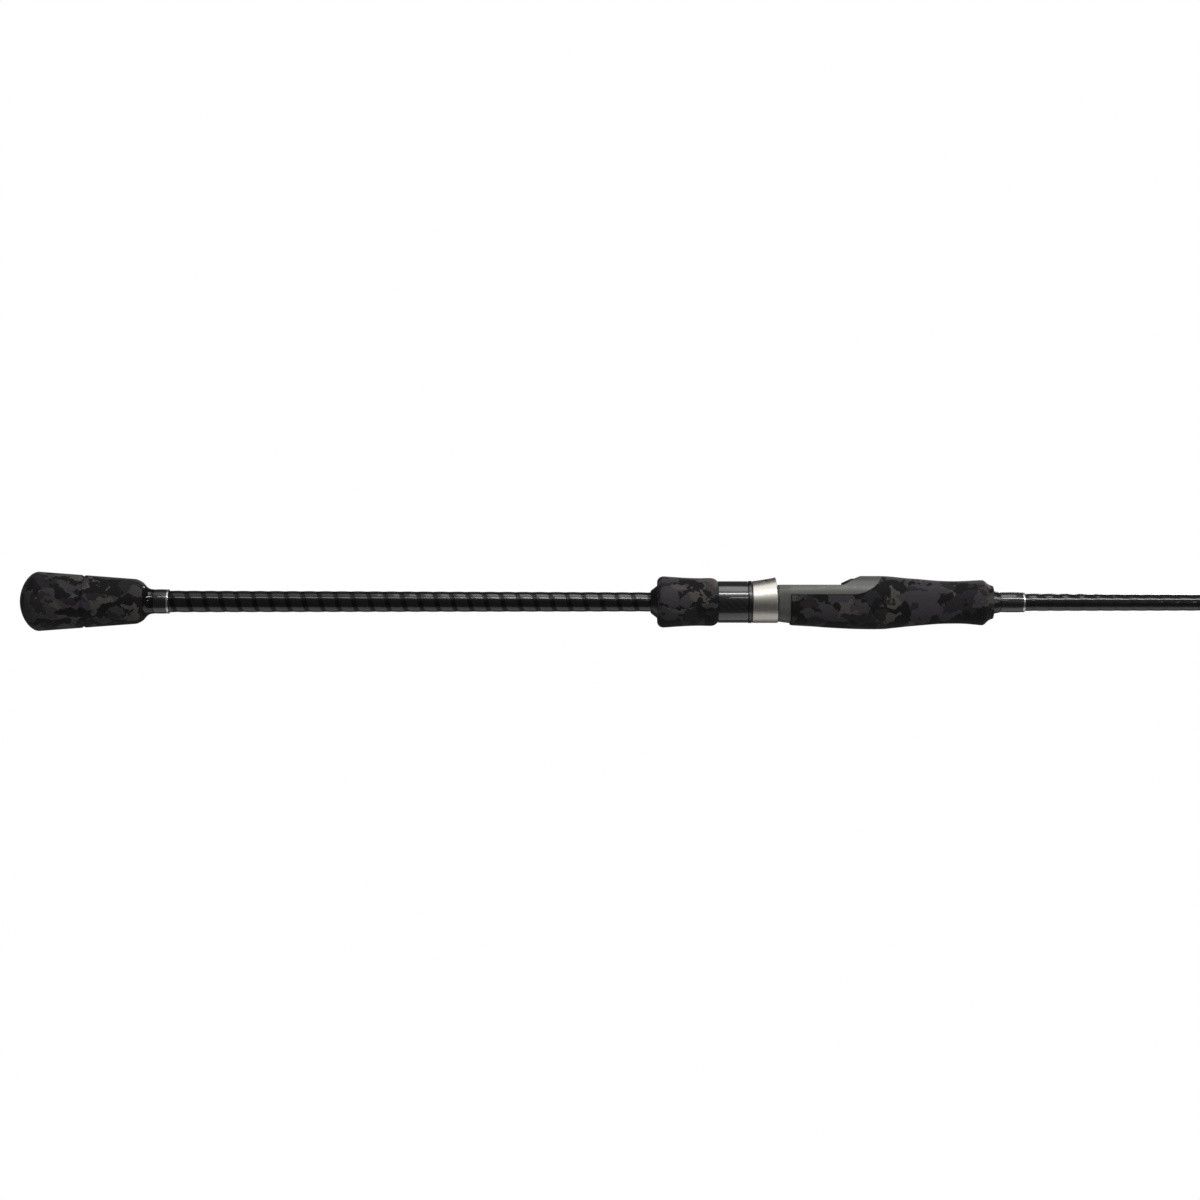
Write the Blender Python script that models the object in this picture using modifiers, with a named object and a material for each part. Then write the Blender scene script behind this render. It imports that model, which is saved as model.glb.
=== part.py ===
"""A one-piece spinning rod with a split grip, a screw-down reel seat and eight guides.

The rod lies along X with its tip at +X, and its reel bed and guides face +Z. The origin is the
middle of the flat bed that the reel's foot rests on, so the blank's centre line runs below it.
"""

from math import asin, cos, pi, radians, sin, sqrt, tau

import bmesh
import bpy
from mathutils import Matrix

MM = 0.001
GAP = 0.3 * MM  # clearance between two pieces that touch

# Overall lengths, from the middle of the reel bed
BUTT_REACH = 427.4 * MM
TIP_REACH = 1549.0 * MM  # to the end of the blank, inside the tip-top

# Blank: a tapered tube
BLANK_BUTT_RADIUS = 6.05 * MM
BLANK_TIP_RADIUS = 1.1 * MM
BLANK_BUTT_WALL = 1.2 * MM
BLANK_TIP_WALL = 0.5 * MM
PLUG_LENGTH = 10.0 * MM

# Butt grip, its winding check and its wrap
BUTT_FOAM_END = 8.4 * MM  # foam behind the blank's end
BUTT_GRIP_LENGTH = 66.9 * MM
BUTT_FOAM_REAR = 9.7 * MM  # foam over the blank at the grip's widest ring
BUTT_FOAM_FRONT = 5.8 * MM
BUTT_DOME_LENGTH = 10.0 * MM
BUTT_DOME_POWER = 1.8  # 2 would be a true ellipse
BUTT_NOSE_LENGTH = 4.9 * MM
BUTT_NOSE_DROP = 2.4 * MM
BUTT_GROOVE_PLACE = 34.3 * MM  # from the butt end
BUTT_GROOVE_DEPTH = 0.6 * MM
BUTT_GROOVE_HALF = 1.2 * MM
BUTT_CHECK_LENGTH = 5.0 * MM
BUTT_CHECK_FLARE = 2.6 * MM
BUTT_WRAP_LENGTH = 6.5 * MM
TRIM_BAND_LENGTH = 1.0 * MM
WRAP_WALL = 0.4 * MM

# Reel seat: a threaded pipe on arbors, with a bed and a fixed hood for the reel's foot
ARBOR_WALL = 0.85 * MM
REAR_ARBOR_LENGTH = 24.0 * MM
FRONT_ARBOR_LENGTH = 26.0 * MM
PIPE_WALL = 2.1 * MM
PIPE_FRONT_X = 40.0 * MM
BED_CUT = 0.8 * MM  # depth of the bed's flat below the pipe's radius
BED_HALF_WIDTH = 6.5 * MM
BED_SHOULDER = 1.44 * MM  # height of the seat's shoulders over the flat
SEAT_REAR_REACH = 18.3 * MM  # bed centre to the seat body's rear face
COLLAR_LENGTH = 6.1 * MM  # full round stretch behind the fore grip
COLLAR_SIDE = 1.9 * MM  # collar over the pipe at its rear face, at the sides and below
COLLAR_SWELL = 0.8 * MM  # how much wider the collar is at its front
SEAT_SIDE = 3.6 * MM  # hood over the pipe, at the sides of its mouth
SEAT_SWELL = 0.4 * MM  # how much wider the hood is at the pipe's front end
POCKET_HEIGHT = 4.2 * MM
POCKET_END_X = 32.0 * MM
POCKET_CORNER = 2.4 * MM
POCKET_CORNER_STEPS = 3
CUSHION_WALL = 0.6 * MM
CUSHION_LIP = 0.8 * MM  # how far the cushion stands out of the fixed hood's mouth
ROOF_WALL = 1.1 * MM
MOUTH_FOOT_X = 16.2 * MM
MOUTH_TOP_X = 26.1 * MM
HOOD_FRONT_X = 37.3 * MM
SEAM_HEIGHT = 3.9 * MM  # where the seat body meets the fore grip, above the blank's centre line
SEAM_BEND = 18.0 * MM
SEAM_STEPS = 8
SEAM_RISE = 2.0 * MM  # how far the seam's line runs on over the hood's roof

# Thread, nut and movable hood
THREAD_PITCH = 3.0 * MM
THREAD_DEPTH = 0.7 * MM
THREAD_STEPS = 16  # points a turn
THREAD_START = radians(7)  # turn of the thread at the bed's middle
THREAD_RUNOUT = 1.2 * MM  # plain pipe behind the thread
THREAD_FLAT_DROP = 0.4 * MM  # the threaded stretch's flat, below the bed
ENGAGEMENT = 10.0 * MM  # length of the nut's thread
NUT_THREAD_SETBACK = 2.4 * MM  # the nut's thread behind its trim ring
NUT_OVERRUN = 2.0 * MM  # the nut's thread past the pipe's end, when it is fully unscrewed
HOOD_TRAVEL = 22.0 * MM
HOOD_LENGTH = 13.8 * MM
HOOD_WALL = 0.75 * MM
HOOD_STEP = 0.1 * MM  # the roof's height over the nut's side of the ring
HOOD_RISE = 2.05 * MM  # how far the hood's roof climbs to its mouth
HOOD_RISE_MIDDLE = 0.55  # share of the hood's length where half of that climb is done
HOOD_LEAN = 0.045  # backward slope of the hood's mouth
PIN_HOLE_RADIUS = 1.2 * MM
PIN_HOLE_TURN = radians(20)
PIN_HOLE_PLACE = 6.6 * MM  # behind the hood's mouth
LINER_WALL = 0.6 * MM
LINER_OPENING = 6.2 * MM  # half width of the liner's slot over the bed
LINER_SLOT_DEPTH = 1.4 * MM  # how far below the bed that slot reaches
KEY_HALF_WIDTH = 1.5 * MM
KEY_SETBACK = 0.5 * MM  # from the liner's ends
SPIGOT_LENGTH = 1.4 * MM  # nut core inside the movable hood
TRIM_RING_LENGTH = 1.9 * MM
SLEEVE_LENGTH = 15.9 * MM
NUT_GRIP_LENGTH = 32.5 * MM
END_CAP_LENGTH = 3.3 * MM
CORE_WALL = 0.6 * MM
CORE_END_WALL = 2.6 * MM
SLEEVE_WALL = 0.6 * MM
TRIM_RING_WALL = 0.8 * MM
NUT_GRIP_FOAM = 3.25 * MM
END_CAP_WALL = 0.45 * MM
END_CAP_FLARE = 2.8 * MM

# Fore grip, its winding check and its wrap
FORE_GRIP_LENGTH = 109.1 * MM
# Share of the grip's length; drop of its top below the fixed hood's roof, foam below the core
# and foam beside the core, in millimetres
FORE_GRIP_FORM = (
    (0.0, 0.0, 3.25, 3.0),
    (0.01, 0.0, 3.6, 3.3),
    (0.11, 0.0, 4.2, 3.6),
    (0.2, 0.0, 4.9, 3.9),
    (0.33, 0.0, 5.6, 4.1),
    (0.45, 0.0, 5.6, 4.2),
    (0.51, 0.4, 5.0, 3.9),
    (0.57, 1.1, 4.3, 3.5),
    (0.64, 1.65, 3.6, 3.2),
    (0.73, 2.5, 2.8, 2.7),
    (0.81, 2.75, 2.55, 2.5),
    (0.87, 2.55, 2.7, 2.6),
    (0.944, 2.2, 3.4, 3.1),
    (0.96, 2.6, 3.0, 2.7),
    (0.973, 4.0, 1.4, 1.2),
    (0.988, 4.9, 0.2, 0.1),
    (1.0, 5.2, 0.0, 0.0),
)
FRONT_CHECK_LENGTH = 3.8 * MM
FRONT_CHECK_WALL = 0.5 * MM
FRONT_CHECK_FLARE = 0.8 * MM
FRONT_WRAP_LENGTH = 11.6 * MM

# Guides: distance behind the blank's tip, ring size, ring bore, ring centre over the blank's
# centre line, wire radius, foot length and number of feet, in millimetres
GUIDES = (
    (1004.0, 25.0, 18.6, 29.0, 1.0, 15.0, 2),
    (815.0, 16.0, 11.4, 20.5, 0.85, 12.0, 2),
    (650.0, 12.0, 8.2, 15.0, 0.7, 11.0, 1),
    (510.0, 10.0, 6.6, 11.5, 0.6, 10.0, 1),
    (385.0, 8.0, 5.2, 8.8, 0.5, 9.0, 1),
    (275.0, 8.0, 5.2, 8.4, 0.5, 9.0, 1),
    (175.0, 8.0, 5.2, 8.1, 0.5, 9.0, 1),
    (85.0, 8.0, 5.2, 7.8, 0.5, 9.0, 1),
)
RING_TILT = radians(14)
RING_WIDTH = 2.0 * MM
HOLDER_WALL = 0.8 * MM
HOLDER_WIDTH = 1.5 * MM
LEG_SINK = 0.85  # a leg's start outside the holder's bore, in wire radii
LEG_TURN = radians(125)  # from the ring's top to where a side leg leaves it
# The legs' reach, in ring heights: the side legs' knee and toe ahead, and the strut's toe behind
KNEE_AHEAD = 0.22
KNEE_HEIGHT = 0.42
TOE_AHEAD = 0.35
STRUT_BEHIND = 0.45
TOE_LENGTH = 1.5  # flat end of a leg on its foot, in wire radii
FOOT_THICKNESS = 0.8 * MM
FOOT_WIDTH_OVER_WIRE = 1.4 * MM
WRAP_SETBACK = 1.2 * MM  # from the foot's root to its wrap, past the wire's own width
WRAP_RUNOUT = 2.5 * MM  # wrap beyond the foot's end
WRAP_SHOULDER = 0.5 * MM  # full height ends this far behind the foot's end
WRAP_STEP = 0.2 * MM  # drop of the wrap's first turns
TIP_RING_SIZE = 8.0 * MM
TIP_RING_BORE = 5.2 * MM
TIP_RING_HEIGHT = 6.6 * MM
TIP_RING_REACH = 1.0 * MM  # the ring's middle past the blank's end
TIP_TUBE_LENGTH = 12.0 * MM
TIP_TUBE_END = 1.5 * MM  # the tube's closed end past the blank's end
TIP_WIRE_RADIUS = 0.45 * MM
TIP_TUBE_WALL = 0.45 * MM
TIP_LEG_TURN = radians(95)
TIP_LEG_PLACE = 3.0 * MM  # the legs' feet ahead of the tube's rear end
TIP_LEG_HEIGHT = 0.4 * MM  # over the tube's centre line
TIP_LEG_SINK = 0.1 * MM  # into the tube's wall
TIP_TUBE_STEPS = 14
TIP_WRAP_LENGTH = 6.0 * MM

TURN_STEPS = 24
RING_STEPS = 16
LOFT_SIDES = 28
LOFT_POWER = 2.5  # 2 would be an ellipse
WRAP_SIDES = 12
ARC_STEPS = 5
PAST = 5.0 * MM  # how far a cutter runs past what it cuts

# Places and radii that follow
BUTT_END_X = -BUTT_REACH
BLANK_BUTT_X = BUTT_END_X + BUTT_FOAM_END
BUTT_GRIP_FRONT_X = BUTT_END_X + BUTT_GRIP_LENGTH
SEAT_REAR_X = -SEAT_REAR_REACH
COLLAR_FRONT_X = SEAT_REAR_X + COLLAR_LENGTH
FORE_GRIP_REAR_X = COLLAR_FRONT_X + GAP
FORE_GRIP_FRONT_X = FORE_GRIP_REAR_X + FORE_GRIP_LENGTH
HOOD_MOUTH_X = SEAT_REAR_X - GAP
HOOD_REAR_X = HOOD_MOUTH_X - HOOD_LENGTH
CORE_FRONT_X = HOOD_REAR_X + SPIGOT_LENGTH
TRIM_FRONT_X = HOOD_REAR_X - GAP
TRIM_REAR_X = TRIM_FRONT_X - TRIM_RING_LENGTH
SLEEVE_FRONT_X = TRIM_REAR_X - GAP
SLEEVE_REAR_X = SLEEVE_FRONT_X - SLEEVE_LENGTH
NUT_GRIP_FRONT_X = SLEEVE_REAR_X - GAP
NUT_REAR_X = NUT_GRIP_FRONT_X - NUT_GRIP_LENGTH
NUT_THREAD_FRONT_X = TRIM_REAR_X - NUT_THREAD_SETBACK
NUT_THREAD_REAR_X = NUT_THREAD_FRONT_X - ENGAGEMENT
PIPE_REAR_X = NUT_THREAD_REAR_X - HOOD_TRAVEL + NUT_OVERRUN
PLAIN_PIPE_X = NUT_THREAD_FRONT_X + GAP  # the pipe's thread ends here
BED_REAR_X = CORE_FRONT_X + GAP


def blank_radius(x):
    """Outer radius of the blank at x."""
    share = (x - BLANK_BUTT_X) / (TIP_REACH - BLANK_BUTT_X)
    return BLANK_BUTT_RADIUS + share * (BLANK_TIP_RADIUS - BLANK_BUTT_RADIUS)


PIPE_BORE = blank_radius(PIPE_REAR_X) + GAP + ARBOR_WALL + GAP
PIPE_RADIUS = PIPE_BORE + PIPE_WALL
CREST_RADIUS = PIPE_RADIUS + THREAD_DEPTH
CORE_BORE = CREST_RADIUS + GAP
CORE_RADIUS = CORE_BORE + CORE_WALL
LINER_RADIUS = CORE_BORE + LINER_WALL
HOOD_BORE = max(CORE_RADIUS, LINER_RADIUS) + GAP
HOOD_RADIUS = HOOD_BORE + HOOD_WALL
FOAM_BORE = PIPE_RADIUS + GAP
NUT_BLANK_BORE = blank_radius(NUT_REAR_X - END_CAP_LENGTH - HOOD_TRAVEL) + GAP
BED_HEIGHT = PIPE_RADIUS - BED_CUT  # over the blank's centre line
SHOULDER_HEIGHT = BED_HEIGHT + BED_SHOULDER
POCKET_ROOF = BED_HEIGHT + POCKET_HEIGHT + CUSHION_WALL + GAP
HOOD_ROOF = POCKET_ROOF + ROOF_WALL
SEAM_BEND_X = HOOD_FRONT_X - sqrt(SEAM_BEND**2 - (SEAM_BEND - HOOD_ROOF + SEAM_HEIGHT) ** 2)


def clear_scene():
    """Removes every object of the scene."""
    for old in list(bpy.data.objects):
        bpy.data.objects.remove(old, do_unlink=True)


def new_collection(name):
    """Adds a collection to the scene."""
    collection = bpy.data.collections.new(name)
    bpy.context.scene.collection.children.link(collection)
    return collection


def finish(name, color, roughness, metallic=0.0, coat=0.0):
    """Makes a Principled material of one linear colour."""
    material = bpy.data.materials.new(name)
    material.use_nodes = True
    shader = material.node_tree.nodes["Principled BSDF"]
    shader.inputs["Base Color"].default_value = (*color, 1.0)
    shader.inputs["Roughness"].default_value = roughness
    shader.inputs["Metallic"].default_value = metallic
    shader.inputs["Coat Weight"].default_value = coat
    return material


clear_scene()
PARTS = new_collection("spinning_rod")
CUTTERS = new_collection("cutters")


def axis_empty(name, parent=None):
    """An empty on the blank's centre line, which carries a body's pieces."""
    empty = bpy.data.objects.new(name, None)
    empty.empty_display_size = 0.02
    PARTS.objects.link(empty)
    empty.parent = parent
    if parent is None:
        empty.location.z = -BED_HEIGHT
    return empty


def new_piece(name, mesh, parent, material):
    """Puts a mesh in the model as a piece. Without a material it is a cutter or a joined shape."""
    piece = bpy.data.objects.new(name, mesh)
    piece.parent = parent
    if material is None:
        CUTTERS.objects.link(piece)
        piece.hide_render = True
        piece.display_type = "WIRE"
        return piece
    PARTS.objects.link(piece)
    mesh.materials.append(material)
    mesh.shade_smooth()
    mesh.set_sharp_from_angle(angle=radians(35))
    return piece


def combine(piece, other, operation="DIFFERENCE"):
    """Cuts, joins or crosses a piece with another shape."""
    boolean = piece.modifiers.new(other.name, "BOOLEAN")
    boolean.operation = operation
    boolean.solver = "EXACT"
    boolean.object = other


def turned(name, profile, parent, material=None, steps=TURN_STEPS, tilt=0.0):
    """A shape turned about the rod's direction, from (x, radius) points round its section.

    An outline that starts and ends on the axis is left open there. tilt leans its top to the tip.
    """
    after = profile[1:] + profile[:1]
    area = sum(x0 * r1 - x1 * r0 for (x0, r0), (x1, r1) in zip(profile, after, strict=True))
    outline = profile if area > 0 else profile[::-1]
    shape = bmesh.new()
    points = [shape.verts.new((radius, 0.0, x)) for x, radius in outline]
    for start, end in zip(points, points[1:]):
        shape.edges.new((start, end))
    if min(radius for _, radius in outline) > 0:
        shape.edges.new((points[-1], points[0]))
    mesh = bpy.data.meshes.new(name)
    shape.to_mesh(mesh)
    shape.free()
    piece = new_piece(name, mesh, parent, material)
    piece.rotation_euler.y = pi / 2 + tilt
    screw = piece.modifiers.new("Turn", "SCREW")
    screw.steps = steps
    screw.render_steps = steps
    screw.use_merge_vertices = True
    screw.merge_threshold = 1e-5
    screw.use_smooth_shade = True
    return piece


def tube(name, x_rear, x_front, bore, radius, parent, material=None, steps=TURN_STEPS):
    """A plain turned tube."""
    profile = [(x_rear, bore), (x_rear, radius), (x_front, radius), (x_front, bore)]
    return turned(name, profile, parent, material, steps)


def rod(name, x_rear, x_front, radius, parent, material=None, steps=TURN_STEPS, front=None):
    """A plain turned solid rod or cone."""
    front_radius = radius if front is None else front
    profile = [(x_rear, 0.0), (x_rear, radius), (x_front, front_radius), (x_front, 0.0)]
    return turned(name, profile, parent, material, steps)


def box(name, low, high, parent, material=None):
    """A box between two corners."""
    shape = bmesh.new()
    middle = [(a + b) / 2 for a, b in zip(low, high, strict=True)]
    spans = [b - a for a, b in zip(low, high, strict=True)]
    place = Matrix.Translation(middle) @ Matrix.Diagonal((*spans, 1.0))
    bmesh.ops.create_cube(shape, size=1.0, matrix=place)
    mesh = bpy.data.meshes.new(name)
    shape.to_mesh(mesh)
    shape.free()
    return new_piece(name, mesh, parent, material)


def meshed(name, curve, turn, parent, material):
    """The mesh piece of a curve, with its caps welded."""
    holder = bpy.data.objects.new(name + "_curve", curve)
    bpy.context.scene.collection.objects.link(holder)
    graph = bpy.context.evaluated_depsgraph_get()
    mesh = bpy.data.meshes.new_from_object(holder.evaluated_get(graph))
    shape = bmesh.new()
    shape.from_mesh(mesh)
    bmesh.ops.remove_doubles(shape, verts=shape.verts, dist=1e-6)
    bmesh.ops.recalc_face_normals(shape, faces=shape.faces)
    shape.to_mesh(mesh)
    shape.free()
    bpy.data.objects.remove(holder)
    piece = new_piece(name, mesh, parent, material)
    piece.matrix_basis = turn
    return piece


ACROSS = Matrix.Rotation(pi / 2, 4, "X")  # an outline in X and Z, with its thickness along Y
ALONG = Matrix(((0, 0, 1, 0), (1, 0, 0, 0), (0, 1, 0, 0), (0, 0, 0, 1)))  # outline in Y and Z


def slab(name, outline, half, turn, parent, material=None, middle=0.0):
    """A flat outline with a thickness of twice half, about middle along its thickness."""
    curve = bpy.data.curves.new(name, "CURVE")
    curve.dimensions = "2D"
    curve.fill_mode = "BOTH"
    curve.extrude = half
    spline = curve.splines.new("POLY")
    spline.points.add(len(outline) - 1)
    for point, (along, up) in zip(spline.points, outline, strict=True):
        point.co = (along, up, 0.0, 1.0)
    spline.use_cyclic_u = True
    place = turn @ Matrix.Translation((0.0, 0.0, middle))
    return meshed(name, curve, place, parent, material)


def wire(name, points, radius, parent, turn=Matrix(), sides=6):
    """A round wire through points."""
    curve = bpy.data.curves.new(name, "CURVE")
    curve.dimensions = "3D"
    curve.twist_mode = "Z_UP"
    curve.bevel_depth = radius
    curve.bevel_resolution = (sides - 4) // 2
    curve.use_fill_caps = True
    spline = curve.splines.new("POLY")
    spline.points.add(len(points) - 1)
    for point, place in zip(spline.points, points, strict=True):
        point.co = (*place, 1.0)
    return meshed(name, curve, turn, parent, None)


def rounded(value, power):
    """A sine or cosine bent towards the corners of a squarer outline."""
    return (1 if value > 0 else -1) * abs(value) ** (2 / power)


def loft(name, stations, parent, material=None, power=2.0, sides=LOFT_SIDES, lean=0.0):
    """A solid through rounded sections, each (x, height, depth, half width).

    lean is the backward slope of the last section.
    """
    shape = bmesh.new()
    rings = []
    for x, up, down, side in stations:
        slope = lean if x == stations[-1][0] else 0.0
        ring = []
        for step in range(sides):
            turn = tau * (step + 0.5) / sides
            z = (up if cos(turn) > 0 else down) * rounded(cos(turn), power)
            ring.append(shape.verts.new((x - slope * z, side * rounded(sin(turn), power), z)))
        rings.append(ring)
    for near, far in zip(rings, rings[1:]):
        for step in range(sides):
            after = (step + 1) % sides
            shape.faces.new((near[step], near[after], far[after], far[step]))
    shape.faces.new(rings[0])
    shape.faces.new(rings[-1])
    bmesh.ops.recalc_face_normals(shape, faces=shape.faces)
    mesh = bpy.data.meshes.new(name)
    shape.to_mesh(mesh)
    shape.free()
    return new_piece(name, mesh, parent, material)


def arc(center, radius, start, end, steps=ARC_STEPS):
    """Points on an arc, from one angle to another."""
    turns = [start + (end - start) * step / steps for step in range(steps + 1)]
    return [(center[0] + radius * cos(turn), center[1] + radius * sin(turn)) for turn in turns]


# The rod's bodies
ROD = axis_empty("rod_axis")
HOOD = axis_empty("movable_hood_axis", ROD)
NUT = axis_empty("lock_nut_axis", HOOD)

# Finishes
CARBON = finish("carbon_blank", (0.006, 0.006, 0.007), 0.22, coat=1.0)
EVA = finish("camouflage_eva", (0.02, 0.018, 0.021), 0.85)
SEAT = finish("satin_grey_nylon", (0.15, 0.15, 0.14), 0.42)
STEEL = finish("brushed_steel", (0.56, 0.54, 0.51), 0.3, metallic=1.0)
GUNMETAL = finish("dark_anodised_aluminium", (0.05, 0.05, 0.055), 0.3, metallic=1.0)
WEAVE = finish("carbon_weave_sleeve", (0.012, 0.012, 0.013), 0.15, coat=1.0)
NYLON = finish("black_nylon", (0.01, 0.01, 0.01), 0.5)
THREAD = finish("black_thread_in_epoxy", (0.005, 0.005, 0.006), 0.12, coat=1.0)
SILVER = finish("silver_thread_in_epoxy", (0.6, 0.6, 0.6), 0.25, metallic=0.8)
CERAMIC = finish("black_ceramic", (0.012, 0.012, 0.014), 0.08)
FRAME = finish("black_chrome_steel", (0.08, 0.08, 0.085), 0.2, metallic=1.0)
ARBOR = finish("foam_arbor", (0.5, 0.45, 0.35), 0.9)


def sleeve_on_blank(name, x_rear, x_front, wall, material, flare=0.0):
    """A ring round the blank, which widens by flare towards the butt or, if negative, the tip."""
    bore = blank_radius(x_rear) + GAP
    rear = bore + wall + max(flare, 0.0)
    front = bore + wall + max(-flare, 0.0)
    profile = [(x_rear, bore), (x_rear, rear), (x_front, front), (x_front, bore)]
    return turned(name, profile, ROD, material)


def build_blank():
    """The tapered tube that runs the rod's whole length, and the plug in its butt."""
    butt_bore = BLANK_BUTT_RADIUS - BLANK_BUTT_WALL
    tip_bore = BLANK_TIP_RADIUS - BLANK_TIP_WALL
    profile = [
        (BLANK_BUTT_X, butt_bore),
        (BLANK_BUTT_X, BLANK_BUTT_RADIUS),
        (TIP_REACH, BLANK_TIP_RADIUS),
        (TIP_REACH, tip_bore),
    ]
    turned("blank", profile, ROD, CARBON)
    plug_front = BLANK_BUTT_X + PLUG_LENGTH
    share = PLUG_LENGTH / (TIP_REACH - BLANK_BUTT_X)
    plug_radius = butt_bore + share * (tip_bore - butt_bore) - GAP
    rod("butt_plug", BLANK_BUTT_X + GAP, plug_front, plug_radius, ROD, NYLON)


def build_butt():
    """The butt grip with its dome and groove, its flared check and its wrap."""
    bore = BLANK_BUTT_RADIUS + GAP
    widest = bore + BUTT_FOAM_REAR
    neck = bore + BUTT_FOAM_FRONT
    outline = [(BUTT_END_X, 0.0)]
    for share in (0.03, 0.12, 0.25, 0.42, 0.6, 0.8, 1.0):
        height = (1 - (1 - share) ** BUTT_DOME_POWER) ** (1 / BUTT_DOME_POWER)
        outline.append((BUTT_END_X + share * BUTT_DOME_LENGTH, widest * height))
    taper_start = BUTT_DOME_LENGTH
    taper_end = BUTT_GRIP_LENGTH - BUTT_NOSE_LENGTH

    def taper(along):
        share = (along - taper_start) / (taper_end - taper_start)
        return widest + share * (neck - widest)

    for along, depth in (
        (BUTT_GROOVE_PLACE - BUTT_GROOVE_HALF, 0.0),
        (BUTT_GROOVE_PLACE, BUTT_GROOVE_DEPTH),
        (BUTT_GROOVE_PLACE + BUTT_GROOVE_HALF, 0.0),
        (taper_end, 0.0),
    ):
        outline.append((BUTT_END_X + along, taper(along) - depth))
    for share in (0.33, 0.67, 1.0):
        drop = BUTT_NOSE_DROP * share**1.6
        outline.append((BUTT_END_X + taper_end + share * BUTT_NOSE_LENGTH, neck - drop))
    outline += [(BUTT_GRIP_FRONT_X, bore), (BLANK_BUTT_X - GAP, bore), (BLANK_BUTT_X - GAP, 0.0)]
    turned("butt_grip", outline, ROD, EVA)

    check_rear = BUTT_GRIP_FRONT_X + GAP
    check_front = check_rear + BUTT_CHECK_LENGTH
    check_bore = blank_radius(check_rear) + GAP
    outline = [(check_front, check_bore), (check_rear, check_bore)]
    for share in (0.0, 0.2, 0.45, 1.0):
        height = WRAP_WALL + BUTT_CHECK_FLARE * (1 - share) ** 2.6
        outline.append((check_rear + share * BUTT_CHECK_LENGTH, check_bore + height))
    turned("butt_winding_check", outline, ROD, NYLON)
    wrap_rear = check_front + GAP
    wrap_front = wrap_rear + BUTT_WRAP_LENGTH
    sleeve_on_blank("butt_wrap", wrap_rear, wrap_front, WRAP_WALL, THREAD)
    band_rear = wrap_front + GAP
    band_front = band_rear + TRIM_BAND_LENGTH
    sleeve_on_blank("butt_trim_band", band_rear, band_front, WRAP_WALL, SILVER)


def helix(name, x_rear, x_front, radius):
    """A ridge or groove along the thread, centred on the pipe's own radius."""
    count = max(2, round((x_front - x_rear) / THREAD_PITCH * THREAD_STEPS))
    first = round(x_rear / THREAD_PITCH * THREAD_STEPS)
    points = []
    for step in range(first, first + count + 1):
        turn = THREAD_START + tau * step / THREAD_STEPS
        x = THREAD_PITCH * step / THREAD_STEPS
        points.append((-PIPE_RADIUS * sin(turn), PIPE_RADIUS * cos(turn), x))
    return wire(name, points, radius, ROD, Matrix.Rotation(pi / 2, 4, "Y"))


def seam(clearance):
    """The line where the seat body meets the fore grip, from the bend to past the hood's roof."""
    center = (SEAM_BEND_X, SEAM_HEIGHT + SEAM_BEND)
    end = asin((HOOD_ROOF + SEAM_RISE - center[1]) / SEAM_BEND)
    return arc(center, SEAM_BEND - clearance, -pi / 2, end, SEAM_STEPS)


def pocket_outline(inset, floor):
    """The round-cornered channel over the bed, smaller all round by inset."""
    side = BED_HALF_WIDTH - inset
    top = POCKET_ROOF - inset
    corner = POCKET_CORNER - inset
    left = arc((corner - side, top - corner), corner, pi, pi / 2, POCKET_CORNER_STEPS)
    right = arc((side - corner, top - corner), corner, pi / 2, 0.0, POCKET_CORNER_STEPS)
    return [(-side, floor), *left, *right, (side, floor)]


def mouth_cutter(name, lip, x_rear):
    """Everything above the bed's shoulders and behind the fixed hood's slanting mouth."""
    slope = (HOOD_ROOF - SHOULDER_HEIGHT) / (MOUTH_TOP_X - MOUTH_FOOT_X)
    lift = lip * sqrt(1 + slope**2)
    top = HOOD_ROOF + PAST
    past_x = MOUTH_TOP_X + (top - HOOD_ROOF) / slope - lift / slope
    foot_x = MOUTH_FOOT_X - lift / slope
    outline = [(x_rear, SHOULDER_HEIGHT), (foot_x, SHOULDER_HEIGHT), (past_x, top), (x_rear, top)]
    return slab(name, outline, 4 * BED_HALF_WIDTH, ACROSS, ROD)


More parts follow.
